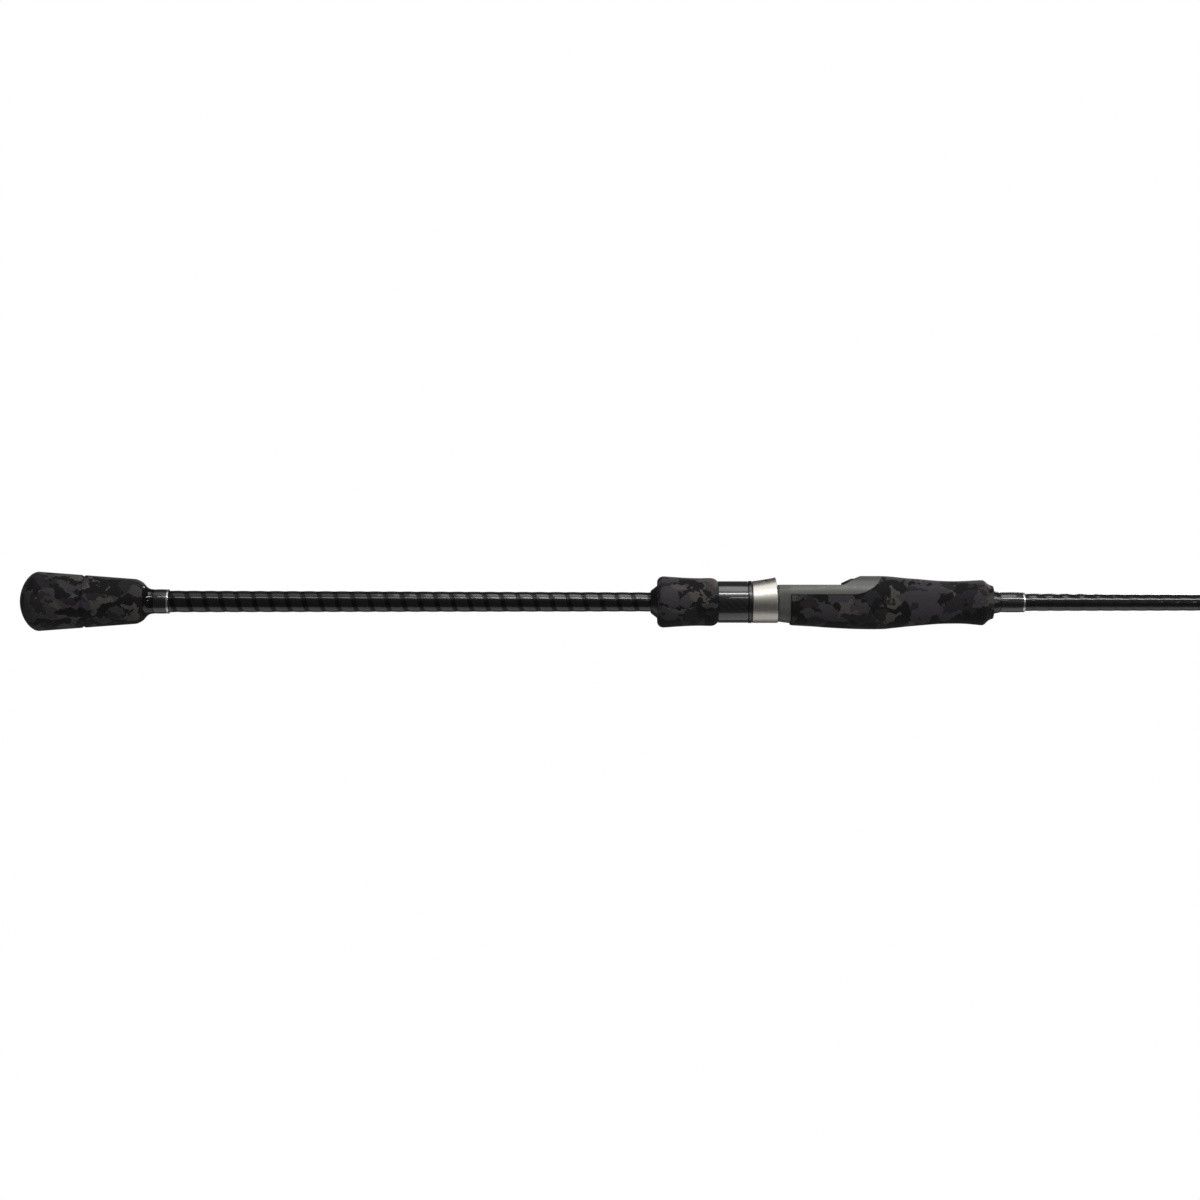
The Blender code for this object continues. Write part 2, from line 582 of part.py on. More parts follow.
def build_seat():
    """The seat body: threaded pipe, collar, bed and fixed hood."""
    rear_side = PIPE_RADIUS + COLLAR_SIDE
    body_side = PIPE_RADIUS + SEAT_SIDE
    collar_side = rear_side + COLLAR_SWELL
    stations = [
        (SEAT_REAR_X, HOOD_RADIUS, rear_side, rear_side),
        (COLLAR_FRONT_X, (HOOD_RADIUS + HOOD_ROOF) / 2, collar_side, collar_side),
        (-COLLAR_FRONT_X, HOOD_ROOF, collar_side, body_side),
        (PIPE_FRONT_X, HOOD_ROOF, collar_side, body_side + SEAT_SWELL),
    ]
    body = loft("reel_seat_body", stations, ROD, SEAT, power=LOFT_POWER)
    deep = -4 * PIPE_RADIUS
    floor = SEAM_HEIGHT + GAP
    room = [(COLLAR_FRONT_X, deep), (COLLAR_FRONT_X, floor), *seam(GAP)]
    room += [(PIPE_FRONT_X + PAST, HOOD_ROOF + SEAM_RISE), (PIPE_FRONT_X + PAST, deep)]
    combine(body, slab("fore_grip_room", room, 4 * BED_HALF_WIDTH, ACROSS, ROD))
    combine(body, mouth_cutter("bed_room", 0.0, SEAT_REAR_X - PAST))
    pipe = [(PIPE_REAR_X, 0.0), (PIPE_REAR_X, PIPE_RADIUS), (PLAIN_PIPE_X, PIPE_RADIUS)]
    pipe += [(PLAIN_PIPE_X, CREST_RADIUS), (COLLAR_FRONT_X - MM, CREST_RADIUS)]
    pipe += [(COLLAR_FRONT_X - MM, PIPE_RADIUS), (PIPE_FRONT_X, PIPE_RADIUS), (PIPE_FRONT_X, 0.0)]
    combine(body, turned("seat_pipe", pipe, ROD), "UNION")
    ridge = helix("pipe_thread", PIPE_REAR_X + THREAD_RUNOUT, PLAIN_PIPE_X, THREAD_DEPTH)
    combine(body, ridge, "UNION")
    channel_half = (POCKET_END_X - BED_REAR_X) / 2
    outline = pocket_outline(0.0, BED_HEIGHT)
    middle = POCKET_END_X - channel_half
    combine(body, slab("foot_channel", outline, channel_half, ALONG, ROD, middle=middle))
    flat_low = (PIPE_REAR_X - PAST, -CREST_RADIUS, BED_HEIGHT - THREAD_FLAT_DROP)
    flat_high = (BED_REAR_X, CREST_RADIUS, CREST_RADIUS + MM)
    combine(body, box("thread_flat", flat_low, flat_high, ROD))
    key_low = (PIPE_REAR_X - PAST, -KEY_HALF_WIDTH - GAP, -CREST_RADIUS - MM)
    key_high = (HOOD_MOUTH_X, KEY_HALF_WIDTH + GAP, -PIPE_RADIUS + GAP)
    combine(body, box("keyway", key_low, key_high, ROD))
    bore = rod("seat_bore", PIPE_REAR_X - PAST, PIPE_FRONT_X + PAST, PIPE_BORE, ROD)
    combine(body, bore)

    cushion_half = (POCKET_END_X - GAP - MOUTH_FOOT_X) / 2
    middle = MOUTH_FOOT_X + cushion_half
    outline = pocket_outline(GAP, BED_HEIGHT + GAP)
    cushion = slab("hood_cushion", outline, cushion_half, ALONG, ROD, NYLON, middle)
    outline = pocket_outline(GAP + CUSHION_WALL, BED_HEIGHT - MM)
    hollow = slab("cushion_hollow", outline, cushion_half + MM, ALONG, ROD, middle=middle)
    combine(cushion, hollow)
    combine(cushion, mouth_cutter("cushion_mouth", CUSHION_LIP, MOUTH_FOOT_X - PAST))

    rear = PIPE_REAR_X + GAP
    for name, start, length in (
        ("rear_arbor", rear, REAR_ARBOR_LENGTH),
        ("front_arbor", PIPE_FRONT_X - GAP - FRONT_ARBOR_LENGTH, FRONT_ARBOR_LENGTH),
    ):
        inner = blank_radius(start) + GAP
        tube(name, start, start + length, inner, PIPE_BORE - GAP, ROD, ARBOR)


def build_movable_hood():
    """The steel hood that slides on the pipe, and the liner whose key stops it turning."""
    top = HOOD_RADIUS + HOOD_RISE
    middle_x = HOOD_REAR_X + HOOD_RISE_MIDDLE * HOOD_LENGTH
    stations = [
        (HOOD_REAR_X, HOOD_RADIUS + HOOD_STEP, HOOD_RADIUS, HOOD_RADIUS),
        (middle_x, HOOD_RADIUS + HOOD_RISE / 2, HOOD_RADIUS, HOOD_RADIUS),
        (HOOD_MOUTH_X - HOOD_LEAN * HOOD_RADIUS, top, HOOD_RADIUS, HOOD_RADIUS),
    ]
    ring = loft("hood_ring", stations, HOOD, STEEL, lean=HOOD_LEAN)
    stations = [
        (HOOD_REAR_X - PAST, HOOD_BORE, HOOD_BORE, HOOD_BORE),
        (HOOD_REAR_X, HOOD_BORE, HOOD_BORE, HOOD_BORE),
        (middle_x, HOOD_BORE + HOOD_RISE / 2, HOOD_BORE, HOOD_BORE),
        (HOOD_MOUTH_X, HOOD_BORE + HOOD_RISE, HOOD_BORE, HOOD_BORE),
        (HOOD_MOUTH_X + PAST, HOOD_BORE + HOOD_RISE, HOOD_BORE, HOOD_BORE),
    ]
    combine(ring, loft("hood_room", stations, HOOD))
    for side in (-1, 1):
        hole = rod(f"pin_hole_{side}", BED_HEIGHT, top + PAST, PIN_HOLE_RADIUS, HOOD, steps=12)
        hole.rotation_euler = (side * PIN_HOLE_TURN, 0.0, 0.0)
        hole.location.x = HOOD_MOUTH_X - PIN_HOLE_PLACE
        combine(ring, hole)

    rear, front = CORE_FRONT_X + GAP, HOOD_MOUTH_X - GAP
    liner = tube("hood_liner", rear, front, CORE_BORE, LINER_RADIUS, HOOD, NYLON)
    key_low = (rear + KEY_SETBACK, -KEY_HALF_WIDTH, -CORE_BORE - LINER_WALL / 2)
    key_high = (front - KEY_SETBACK, KEY_HALF_WIDTH, -PIPE_RADIUS)
    combine(liner, box("liner_key", key_low, key_high, HOOD), "UNION")
    slot_low = (rear - PAST, -LINER_OPENING, BED_HEIGHT - LINER_SLOT_DEPTH)
    slot_high = (front + PAST, LINER_OPENING, HOOD_ROOF)
    combine(liner, box("liner_slot", slot_low, slot_high, HOOD))


def build_nut():
    """The lock nut: a threaded core with a foam grip, a carbon sleeve, a trim ring and a cap."""
    wall_front = NUT_REAR_X + CORE_END_WALL
    thread_bore = PIPE_RADIUS + GAP
    outline = [
        (NUT_REAR_X, NUT_BLANK_BORE),
        (NUT_REAR_X, CORE_RADIUS),
        (CORE_FRONT_X, CORE_RADIUS),
        (CORE_FRONT_X, CORE_BORE),
        (NUT_THREAD_FRONT_X, CORE_BORE),
        (NUT_THREAD_FRONT_X, thread_bore),
        (NUT_THREAD_REAR_X, thread_bore),
        (NUT_THREAD_REAR_X, CORE_BORE),
        (wall_front, CORE_BORE),
        (wall_front, NUT_BLANK_BORE),
    ]
    core = turned("nut_core", outline, NUT, NYLON)
    groove_rear = NUT_THREAD_REAR_X - THREAD_PITCH / 2
    groove_front = NUT_THREAD_FRONT_X + THREAD_PITCH / 2
    combine(core, helix("nut_thread", groove_rear, groove_front, THREAD_DEPTH + GAP))

    seat = CORE_RADIUS + GAP
    tube("nut_trim_ring", TRIM_REAR_X, TRIM_FRONT_X, seat, seat + TRIM_RING_WALL, NUT, GUNMETAL)
    tube("nut_carbon_sleeve", SLEEVE_REAR_X, SLEEVE_FRONT_X, seat, seat + SLEEVE_WALL, NUT, WEAVE)
    outline = [(NUT_GRIP_FRONT_X, seat), (NUT_REAR_X, seat)]
    for share, foam in (
        (0.0, 0.25),
        (0.04, 0.8),
        (0.09, 1.0),
        (0.7, 0.69),
        (0.87, 0.72),
        (0.94, 0.6),
        (1.0, 0.22),
    ):
        outline.append((NUT_REAR_X + share * NUT_GRIP_LENGTH, seat + foam * NUT_GRIP_FOAM))
    turned("nut_grip", outline, NUT, EVA)
    cap_front = NUT_REAR_X - GAP
    cap_rear = cap_front - END_CAP_LENGTH
    small = NUT_BLANK_BORE + END_CAP_WALL
    outline = [
        (cap_rear, NUT_BLANK_BORE),
        (cap_rear, small),
        (cap_front, small + END_CAP_FLARE),
        (cap_front, NUT_BLANK_BORE),
    ]
    turned("nut_end_cap", outline, NUT, GUNMETAL)


def build_fore_grip():
    """The foam grip under and ahead of the seat, its check and its wrap."""
    stations = []
    for share, drop, below, beside in FORE_GRIP_FORM:
        x = FORE_GRIP_REAR_X + share * FORE_GRIP_LENGTH
        depth = FOAM_BORE + below * MM
        stations.append((x, HOOD_ROOF - drop * MM, depth, FOAM_BORE + beside * MM))
    grip = loft("fore_grip", stations, ROD, EVA, power=LOFT_POWER)
    rear = FORE_GRIP_REAR_X - PAST
    past_x = seam(0.0)[-1][0]
    room = [(rear, SEAM_HEIGHT), *seam(0.0), (past_x, 3 * HOOD_ROOF), (rear, 3 * HOOD_ROOF)]
    combine(grip, slab("seat_room", room, 4 * BED_HALF_WIDTH, ACROSS, ROD))
    step_x = PIPE_FRONT_X + GAP
    small = blank_radius(step_x) + GAP
    bore = [(rear, 0.0), (rear, FOAM_BORE), (step_x, FOAM_BORE), (step_x, small)]
    bore += [(FORE_GRIP_FRONT_X + PAST, small), (FORE_GRIP_FRONT_X + PAST, 0.0)]
    combine(grip, turned("fore_grip_bore", bore, ROD))

    check_rear = FORE_GRIP_FRONT_X + GAP
    check_front = check_rear + FRONT_CHECK_LENGTH
    wall, flare = FRONT_CHECK_WALL, FRONT_CHECK_FLARE
    sleeve_on_blank("front_winding_check", check_rear, check_front, wall, GUNMETAL, flare)
    wrap_rear = check_front + GAP
    wrap_front = wrap_rear + FRONT_WRAP_LENGTH
    sleeve_on_blank("front_wrap", wrap_rear, wrap_front, WRAP_WALL, THREAD)
    band_rear = wrap_front + GAP
    band_front = band_rear + TRIM_BAND_LENGTH
    sleeve_on_blank("front_trim_band", band_rear, band_front, WRAP_WALL, SILVER)


def ring_and_holder(name, x, height, size, bore):
    """A guide's ceramic ring, and the holder round it that its frame starts from."""
    half = RING_WIDTH / 2
    shoulder = (size - bore) / 8
    outline = [
        (-half + shoulder, bore / 2),
        (-half, bore / 2 + shoulder),
        (-half, size / 2),
        (half, size / 2),
        (half, bore / 2 + shoulder),
        (half - shoulder, bore / 2),
    ]
    ring = turned(name + "_ring", outline, ROD, CERAMIC, RING_STEPS, RING_TILT)
    inner = size / 2 + GAP
    outer = inner + HOLDER_WALL
    half = HOLDER_WIDTH / 2
    outline = [(-half, inner), (-half, outer), (half, outer), (half, inner)]
    holder = turned(name + "_frame", outline, ROD, FRAME, RING_STEPS, RING_TILT)
    for piece in (ring, holder):
        piece.location = (x, 0.0, height)
    return holder


def on_holder(x, height, size, wire_radius, turn, side):
    """Where a leg's wire starts in a ring holder's wall, turned from its top to one side."""
    radius = size / 2 + GAP + LEG_SINK * wire_radius
    up = radius * cos(turn)
    return (x + up * sin(RING_TILT), side * radius * sin(turn), height + up * cos(RING_TILT))


def build_foot(name, frame, x_start, x_end, wire_radius, wrap_name):
    """A guide's foot, joined to its frame, and the wrap that binds it to the blank."""
    ahead = 1 if x_end > x_start else -1
    base = blank_radius(min(x_start, x_end)) + GAP
    half = wire_radius / 2 + FOOT_WIDTH_OVER_WIRE / 2
    low_x, high_x = sorted((x_start, x_end))
    foot = box(name, (low_x, -half, base), (high_x, half, base + FOOT_THICKNESS), ROD)
    combine(frame, foot, "UNION")
    wrap_start = x_start + ahead * (2 * wire_radius + WRAP_SETBACK)
    wrap_end = x_end + ahead * WRAP_RUNOUT
    low_x, high_x = sorted((wrap_start, wrap_end))
    radius = blank_radius(low_x) + GAP + WRAP_WALL
    crown = base + FOOT_THICKNESS + GAP + WRAP_WALL
    shoulder_x = x_end - ahead * WRAP_SHOULDER
    stations = [
        (wrap_start, crown - WRAP_STEP, radius, max(radius, half + GAP + WRAP_WALL)),
        (wrap_start + ahead * MM, crown, radius, max(radius, half + GAP + WRAP_WALL)),
        (shoulder_x, crown, radius, radius),
        (wrap_end, radius, radius, radius),
    ]
    wrap = loft(wrap_name, stations, ROD, THREAD, LOFT_POWER, WRAP_SIDES)
    rear_x, front_x = low_x - MM, high_x + MM
    rear_bore, front_bore = blank_radius(rear_x) + GAP, blank_radius(front_x) + GAP
    bore = rod(wrap_name + "_bore", rear_x, front_x, rear_bore, ROD, front=front_bore, steps=16)
    combine(wrap, bore)
    slot_start = wrap_start - ahead * MM
    slot_end = x_end + ahead * GAP
    low_x, high_x = sorted((slot_start, slot_end))
    slot_low = (low_x, -half - GAP, 0.0)
    slot_high = (high_x, half + GAP, base + FOOT_THICKNESS + GAP)
    combine(wrap, box(wrap_name + "_slot", slot_low, slot_high, ROD))


def build_guide(number, behind_tip, size, bore, height, wire_radius, foot_length, feet):
    """A guide on its wrapped foot or feet, with side legs to the front and a strut behind."""
    name = f"guide_{number}"
    x = TIP_REACH - behind_tip
    frame = ring_and_holder(name, x, height, size, bore)
    front_x = x + TOE_AHEAD * height
    landing = blank_radius(x - height) + GAP + wire_radius
    spread = wire_radius / 2 + FOOT_WIDTH_OVER_WIRE / 3
    for side in (-1, 1):
        leave = on_holder(x, height, size, wire_radius, LEG_TURN, side)
        knee_y = (leave[1] + side * spread) / 2
        knee = (x + KNEE_AHEAD * height, knee_y, KNEE_HEIGHT * height)
        toe = (front_x, side * spread, landing)
        toe_end = (front_x + TOE_LENGTH * wire_radius, side * spread, landing)
        points = [leave, knee, toe, toe_end]
        combine(frame, wire(f"{name}_leg_{side}", points, wire_radius, ROD), "UNION")
    wrap = f"{name}_front_wrap" if feet == 2 else f"{name}_wrap"
    build_foot(f"{name}_foot", frame, front_x, front_x + foot_length, wire_radius, wrap)
    if feet == 2:
        leave = on_holder(x, height, size, wire_radius, pi, 1)
        rear_x = x - STRUT_BEHIND * height
        toe_end = (rear_x - TOE_LENGTH * wire_radius, 0.0, landing)
        points = [leave, (rear_x, 0.0, landing), toe_end]
        combine(frame, wire(f"{name}_strut", points, wire_radius, ROD), "UNION")
        wrap = f"{name}_rear_wrap"
        build_foot(f"{name}_rear_foot", frame, rear_x, rear_x - foot_length, wire_radius, wrap)


def build_tip_top():
    """The ring at the rod's tip, on a tube over the blank's end, and the wrap behind it."""
    x = TIP_REACH + TIP_RING_REACH
    frame = ring_and_holder("tip_top", x, TIP_RING_HEIGHT, TIP_RING_SIZE, TIP_RING_BORE)
    tube_rear = TIP_REACH - TIP_TUBE_LENGTH
    bore = blank_radius(tube_rear) + GAP
    outer = bore + TIP_TUBE_WALL
    barrel_front = TIP_REACH + TIP_TUBE_END
    barrel = [
        (TIP_REACH + GAP, 0.0),
        (TIP_REACH + GAP, bore),
        (tube_rear, bore),
        (tube_rear, outer),
        (barrel_front, outer),
        (barrel_front, 0.0),
    ]
    combine(frame, turned("tip_top_tube", barrel, ROD, steps=TIP_TUBE_STEPS), "UNION")
    for side in (-1, 1):
        leave = on_holder(x, TIP_RING_HEIGHT, TIP_RING_SIZE, TIP_WIRE_RADIUS, TIP_LEG_TURN, side)
        foot = (tube_rear + TIP_LEG_PLACE, side * (outer - TIP_LEG_SINK), TIP_LEG_HEIGHT)
        combine(frame, wire(f"tip_top_leg_{side}", [leave, foot], TIP_WIRE_RADIUS, ROD), "UNION")
    wrap_rear = tube_rear - GAP - TIP_WRAP_LENGTH
    sleeve_on_blank("tip_wrap", wrap_rear, tube_rear - GAP, WRAP_WALL, THREAD)


build_blank()
build_butt()
build_seat()
build_movable_hood()
build_nut()
build_fore_grip()
for number, row in enumerate(GUIDES, 1):
    *sizes, feet = row
    build_guide(number, *(size * MM for size in sizes), feet)
build_tip_top()
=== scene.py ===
"""The finished look of a spinning rod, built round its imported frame.

Every piece is made in metres in the frame's own place. The rod lies along X with its tip at +X,
its reel bed and its guides face +Z, and its centre line runs a little below the bed.
"""

import logging
from collections.abc import Callable, Iterator, Sequence
from dataclasses import dataclass, field
from enum import Enum
from functools import cache
from itertools import pairwise
from math import acos, atan2, ceil, cos, hypot, pi, radians, sin, sqrt, tau
from typing import ClassVar

import bmesh
import bpy
from mathutils import Matrix, Vector


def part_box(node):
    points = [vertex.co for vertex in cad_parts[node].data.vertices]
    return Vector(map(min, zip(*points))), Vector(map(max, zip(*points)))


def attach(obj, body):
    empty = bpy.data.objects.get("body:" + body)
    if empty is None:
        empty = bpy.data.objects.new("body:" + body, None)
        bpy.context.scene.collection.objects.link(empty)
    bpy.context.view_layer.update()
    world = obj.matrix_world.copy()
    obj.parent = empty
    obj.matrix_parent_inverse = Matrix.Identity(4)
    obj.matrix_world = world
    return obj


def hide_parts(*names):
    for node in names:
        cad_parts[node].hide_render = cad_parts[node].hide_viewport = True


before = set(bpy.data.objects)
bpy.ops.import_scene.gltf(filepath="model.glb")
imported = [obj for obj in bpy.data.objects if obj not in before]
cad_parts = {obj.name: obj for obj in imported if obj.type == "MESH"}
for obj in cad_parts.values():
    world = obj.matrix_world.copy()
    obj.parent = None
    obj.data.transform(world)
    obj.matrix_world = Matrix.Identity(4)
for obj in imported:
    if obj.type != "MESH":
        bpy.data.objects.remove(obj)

LOG = logging.getLogger("spinning_rod")
MM = 0.001
GAP = 0.3 * MM  # clearance that the frame keeps between two pieces that touch
THREAD_GAP = 0.05 * MM  # between the blank and the thread that is wound on it
SAME = 1e-6  # two points of a form that lie nearer than this are one
SHARP = radians(32)  # an edge that turns further than this is drawn as an edge
THINNED = 5  # stretches of a wire in which a thinned end reaches its full radius
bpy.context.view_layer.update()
BLANK_LOW, BLANK_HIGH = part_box("blank")
AXIS_Z = (BLANK_LOW.z + BLANK_HIGH.z) / 2

Point = tuple[float, float] | Vector
Outline = Sequence[Point]
Section = Callable[[float, float], tuple[float, float]]
Form = bmesh.types.BMesh
Material = bpy.types.Material
Socket = bpy.types.NodeSocket
Tree = bpy.types.NodeTree


class Body(Enum):
    """The frame's bodies that pieces ride on."""

    ROD = "rod"
    HOOD = "movable_hood"
    NUT = "lock_nut"


# ---------------------------------------------------------------- materials


def linear(code: str) -> tuple[float, float, float, float]:
    """Turns an sRGB hex colour to linear light.

    Args:
        code: the colour, such as "#1c181e".

    Returns:
        Red, green, blue and an alpha of 1.
    """
    shares = [int(code[place : place + 2], 16) / 255 for place in (1, 3, 5)]
    lit = [s / 12.92 if s <= 0.04045 else ((s + 0.055) / 1.055) ** 2.4 for s in shares]
    return (lit[0], lit[1], lit[2], 1.0)


def add_node(
    tree: Tree,
    kind: str,
    inputs: dict[str | int, object] | None = None,
    stops: Sequence[tuple[float, str]] = (),
    **settings: object,
) -> bpy.types.Node:
    """Adds a node with its settings and its links.

    Args:
        tree: the material's nodes.
        kind: the node's type, without its "ShaderNode".
        inputs: a value, or the output that feeds it, for each named or numbered input.
        stops: place and hex colour of each stop of a colour ramp.
        **settings: the node's own settings.

    Returns:
        The new node.
    """
    made = tree.nodes.new("ShaderNode" + kind)
    for name, value in settings.items():
        setattr(made, name, value)
    for key, value in (inputs or {}).items():
        if isinstance(value, Socket):
            tree.links.new(value, made.inputs[key])
        else:
            made.inputs[key].default_value = value
    if stops:
        ramp = made.color_ramp
        ramp.interpolation = "CONSTANT"
        for place, code in stops[len(ramp.elements) :]:
            ramp.elements.new(place)
        for stop, (place, code) in zip(ramp.elements, stops, strict=True):
            stop.position = place
            stop.color = linear(code)
    return made


@dataclass(frozen=True)
class Finish:
    """A real material and how its surface was made.

    Attributes:
        name: the material's name.
        slot: a name for the kind of material that it stands for. It is not used.
        colour: sRGB hex of its main colour.
        roughness: of its bare surface.
        LEVELS: the other shader inputs that are the same all over it.
    """

    LEVELS: ClassVar[dict[str, float]] = {}

    name: str
    slot: str
    colour: str
    roughness: float

    def material(self) -> Material:
        """Returns the finish's one material, made when it is first asked for."""
        made = bpy.data.materials.get(self.name)
        if made is None:
            made = bpy.data.materials.new(self.name)
            made.use_nodes = True
            shader = made.node_tree.nodes["Principled BSDF"]
            shader.inputs["Base Color"].default_value = linear(self.colour)
            for name, level in {"Roughness": self.roughness, **self.LEVELS}.items():
                shader.inputs[name].default_value = level
            self.paint(made.node_tree, shader)
        return made

    def paint(self, tree: Tree, shader: bpy.types.Node) -> None:
        """Adds the finish's own pattern. Each kind of finish has its own.

        Args:
            tree: the material's nodes.
            shader: its Principled BSDF.
        """
        raise NotImplementedError

    def millimetres(self, tree: Tree) -> Socket:
        """Gives places in millimetres, measured from the rod's centre line.

        Args:
            tree: the material's nodes.

        Returns:
            The output that holds them.
        """
        place = add_node(tree, "TexCoord").outputs["Object"]
        inputs = {"Vector": place, "Location": (0.0, 0.0, -AXIS_Z / MM), "Scale": (1 / MM,) * 3}
        return add_node(tree, "Mapping", inputs).outputs[0]

    def turns(self, tree: Tree, place: Socket) -> tuple[Socket, Socket]:
        """Gives the distance along the rod and the share of a turn round it.

        Args:
            tree: the material's nodes.
            place: a place in millimetres.

        Returns:
            The output of each.
        """
        parts = add_node(tree, "SeparateXYZ", {0: place}).outputs
        angle = add_node(tree, "Math", {0: parts["Y"], 1: parts["Z"]}, operation="ARCTAN2")
        turn = add_node(tree, "Math", {0: angle.outputs[0], 1: tau}, operation="DIVIDE")
        return parts["X"], turn.outputs[0]

    def bump(self, tree: Tree, shader: bpy.types.Node, height: Socket, depth_mm: float) -> None:
        """Raises the surface by a height of 0 to 1.

        Args:
            tree: the material's nodes.
            shader: its Principled BSDF.
            height: the output with the height.
            depth_mm: how deep a height of 1 is.
        """
        inputs = {"Height": height, "Distance": depth_mm * MM, "Strength": 1.0}
        raised = add_node(tree, "Bump", inputs)
        tree.links.new(raised.outputs[0], shader.inputs["Normal"])

    def shade(
        self,
        tree: Tree,
        shader: bpy.types.Node,
        pattern: Socket,
        contrast: float,
        tone: Socket | None = None,
    ) -> None:
        """Lightens and darkens the surface by a pattern of 0 to 1.

        Args:
            tree: the material's nodes.
            shader: its Principled BSDF.
            pattern: the output with the pattern.
            contrast: the most that it changes the brightness, as a share.
            tone: the output with the colour, where it isn't the finish's main colour.
        """
        inputs = {"Value": pattern, "To Min": 1 - contrast, "To Max": 1 + contrast}
        share = add_node(tree, "MapRange", inputs).outputs[0]
        inputs = {0: tone or linear(self.colour)[:3], "Scale": share}
        lit = add_node(tree, "VectorMath", inputs, operation="SCALE").outputs[0]
        tree.links.new(lit, shader.inputs["Base Color"])

    def roughen(
        self, tree: Tree, shader: bpy.types.Node, pattern: Socket, low: float, high: float
    ) -> None:
        """Changes the roughness by a pattern of 0 to 1.

        Args:
            tree: the material's nodes.
            shader: its Principled BSDF.
            pattern: the output with the pattern.
            low: share of the roughness where the pattern is 0.
            high: share of it where the pattern is 1.
        """
        low, high = low * self.roughness, high * self.roughness
        inputs = {"Value": pattern, "To Min": low, "To Max": high}
        rough = add_node(tree, "MapRange", inputs).outputs[0]
        tree.links.new(rough, shader.inputs["Roughness"])


@dataclass(frozen=True)
class CamoFoam(Finish):
    """EVA foam pressed from dark granulate in four tones and sanded to shape.

    The tones lie in ragged patches that run on through the grip, and the cut cells give a dull,
    finely pitted surface.

    Attributes:
        patch_mm: width of a patch.
        stretch: how much longer a patch is along the rod.
        ragged_mm: how far a patch's edge strays.
        stray_mm: width of one stray.
        cell_mm: the cut cells. Real ones are near 0.1 mm, and these are drawn larger to show.
        pit_mm: depth of a cut cell.
        contrast: how much a cell changes its tone's brightness.
        tones: where each tone starts in the random order of the patches, and its colour.
    """

    LEVELS = {"Specular IOR Level": 0.3, "Sheen Weight": 0.05, "Sheen Roughness": 0.5}

    patch_mm: float = 5.4
    stretch: float = 1.6
    ragged_mm: float = 4.4
    stray_mm: float = 8.64
    cell_mm: float = 0.45
    pit_mm: float = 0.16
    contrast: float = 0.28
    tones: tuple[tuple[float, str], ...] = (
        (0.0, "#030203"),
        (0.44, "#211e21"),
        (0.58, "#3a373a"),
        (0.84, "#4d4946"),
    )

    def paint(self, tree: Tree, shader: bpy.types.Node) -> None:
        """Adds the patches, the cells and the pits.

        Args:
            tree: the material's nodes.
            shader: its Principled BSDF.
        """
        place = self.millimetres(tree)
        inputs = {"Vector": place, "Scale": 1 / self.stray_mm, "Detail": 3.0}
        stray = add_node(tree, "TexNoise", inputs).outputs["Color"]
        inputs = {0: stray, 1: (0.5,) * 3}
        centred = add_node(tree, "VectorMath", inputs, operation="SUBTRACT").outputs[0]
        # The noise goes a quarter of its range each way.
        inputs = {0: centred, 1: (4 * self.ragged_mm,) * 3, 2: place}
        moved = add_node(tree, "VectorMath", inputs, operation="MULTIPLY_ADD").outputs[0]
        inputs = {"Vector": moved, "Scale": (1 / self.stretch, 1.0, 1.0)}
        drawn = add_node(tree, "Mapping", inputs).outputs[0]
        patches = add_node(tree, "TexVoronoi", {"Vector": drawn, "Scale": 1 / self.patch_mm})
        parts = add_node(tree, "SeparateColor", {0: patches.outputs["Color"]}).outputs
        tone = add_node(tree, "ValToRGB", {0: parts["Red"]}, stops=self.tones).outputs[0]
        inputs = {"Vector": place, "Scale": 1 / self.cell_mm, "Detail": 2.0}
        cells = add_node(tree, "TexNoise", inputs).outputs["Fac"]
        self.shade(tree, shader, cells, self.contrast, tone)
        self.bump(tree, shader, cells, self.pit_mm)


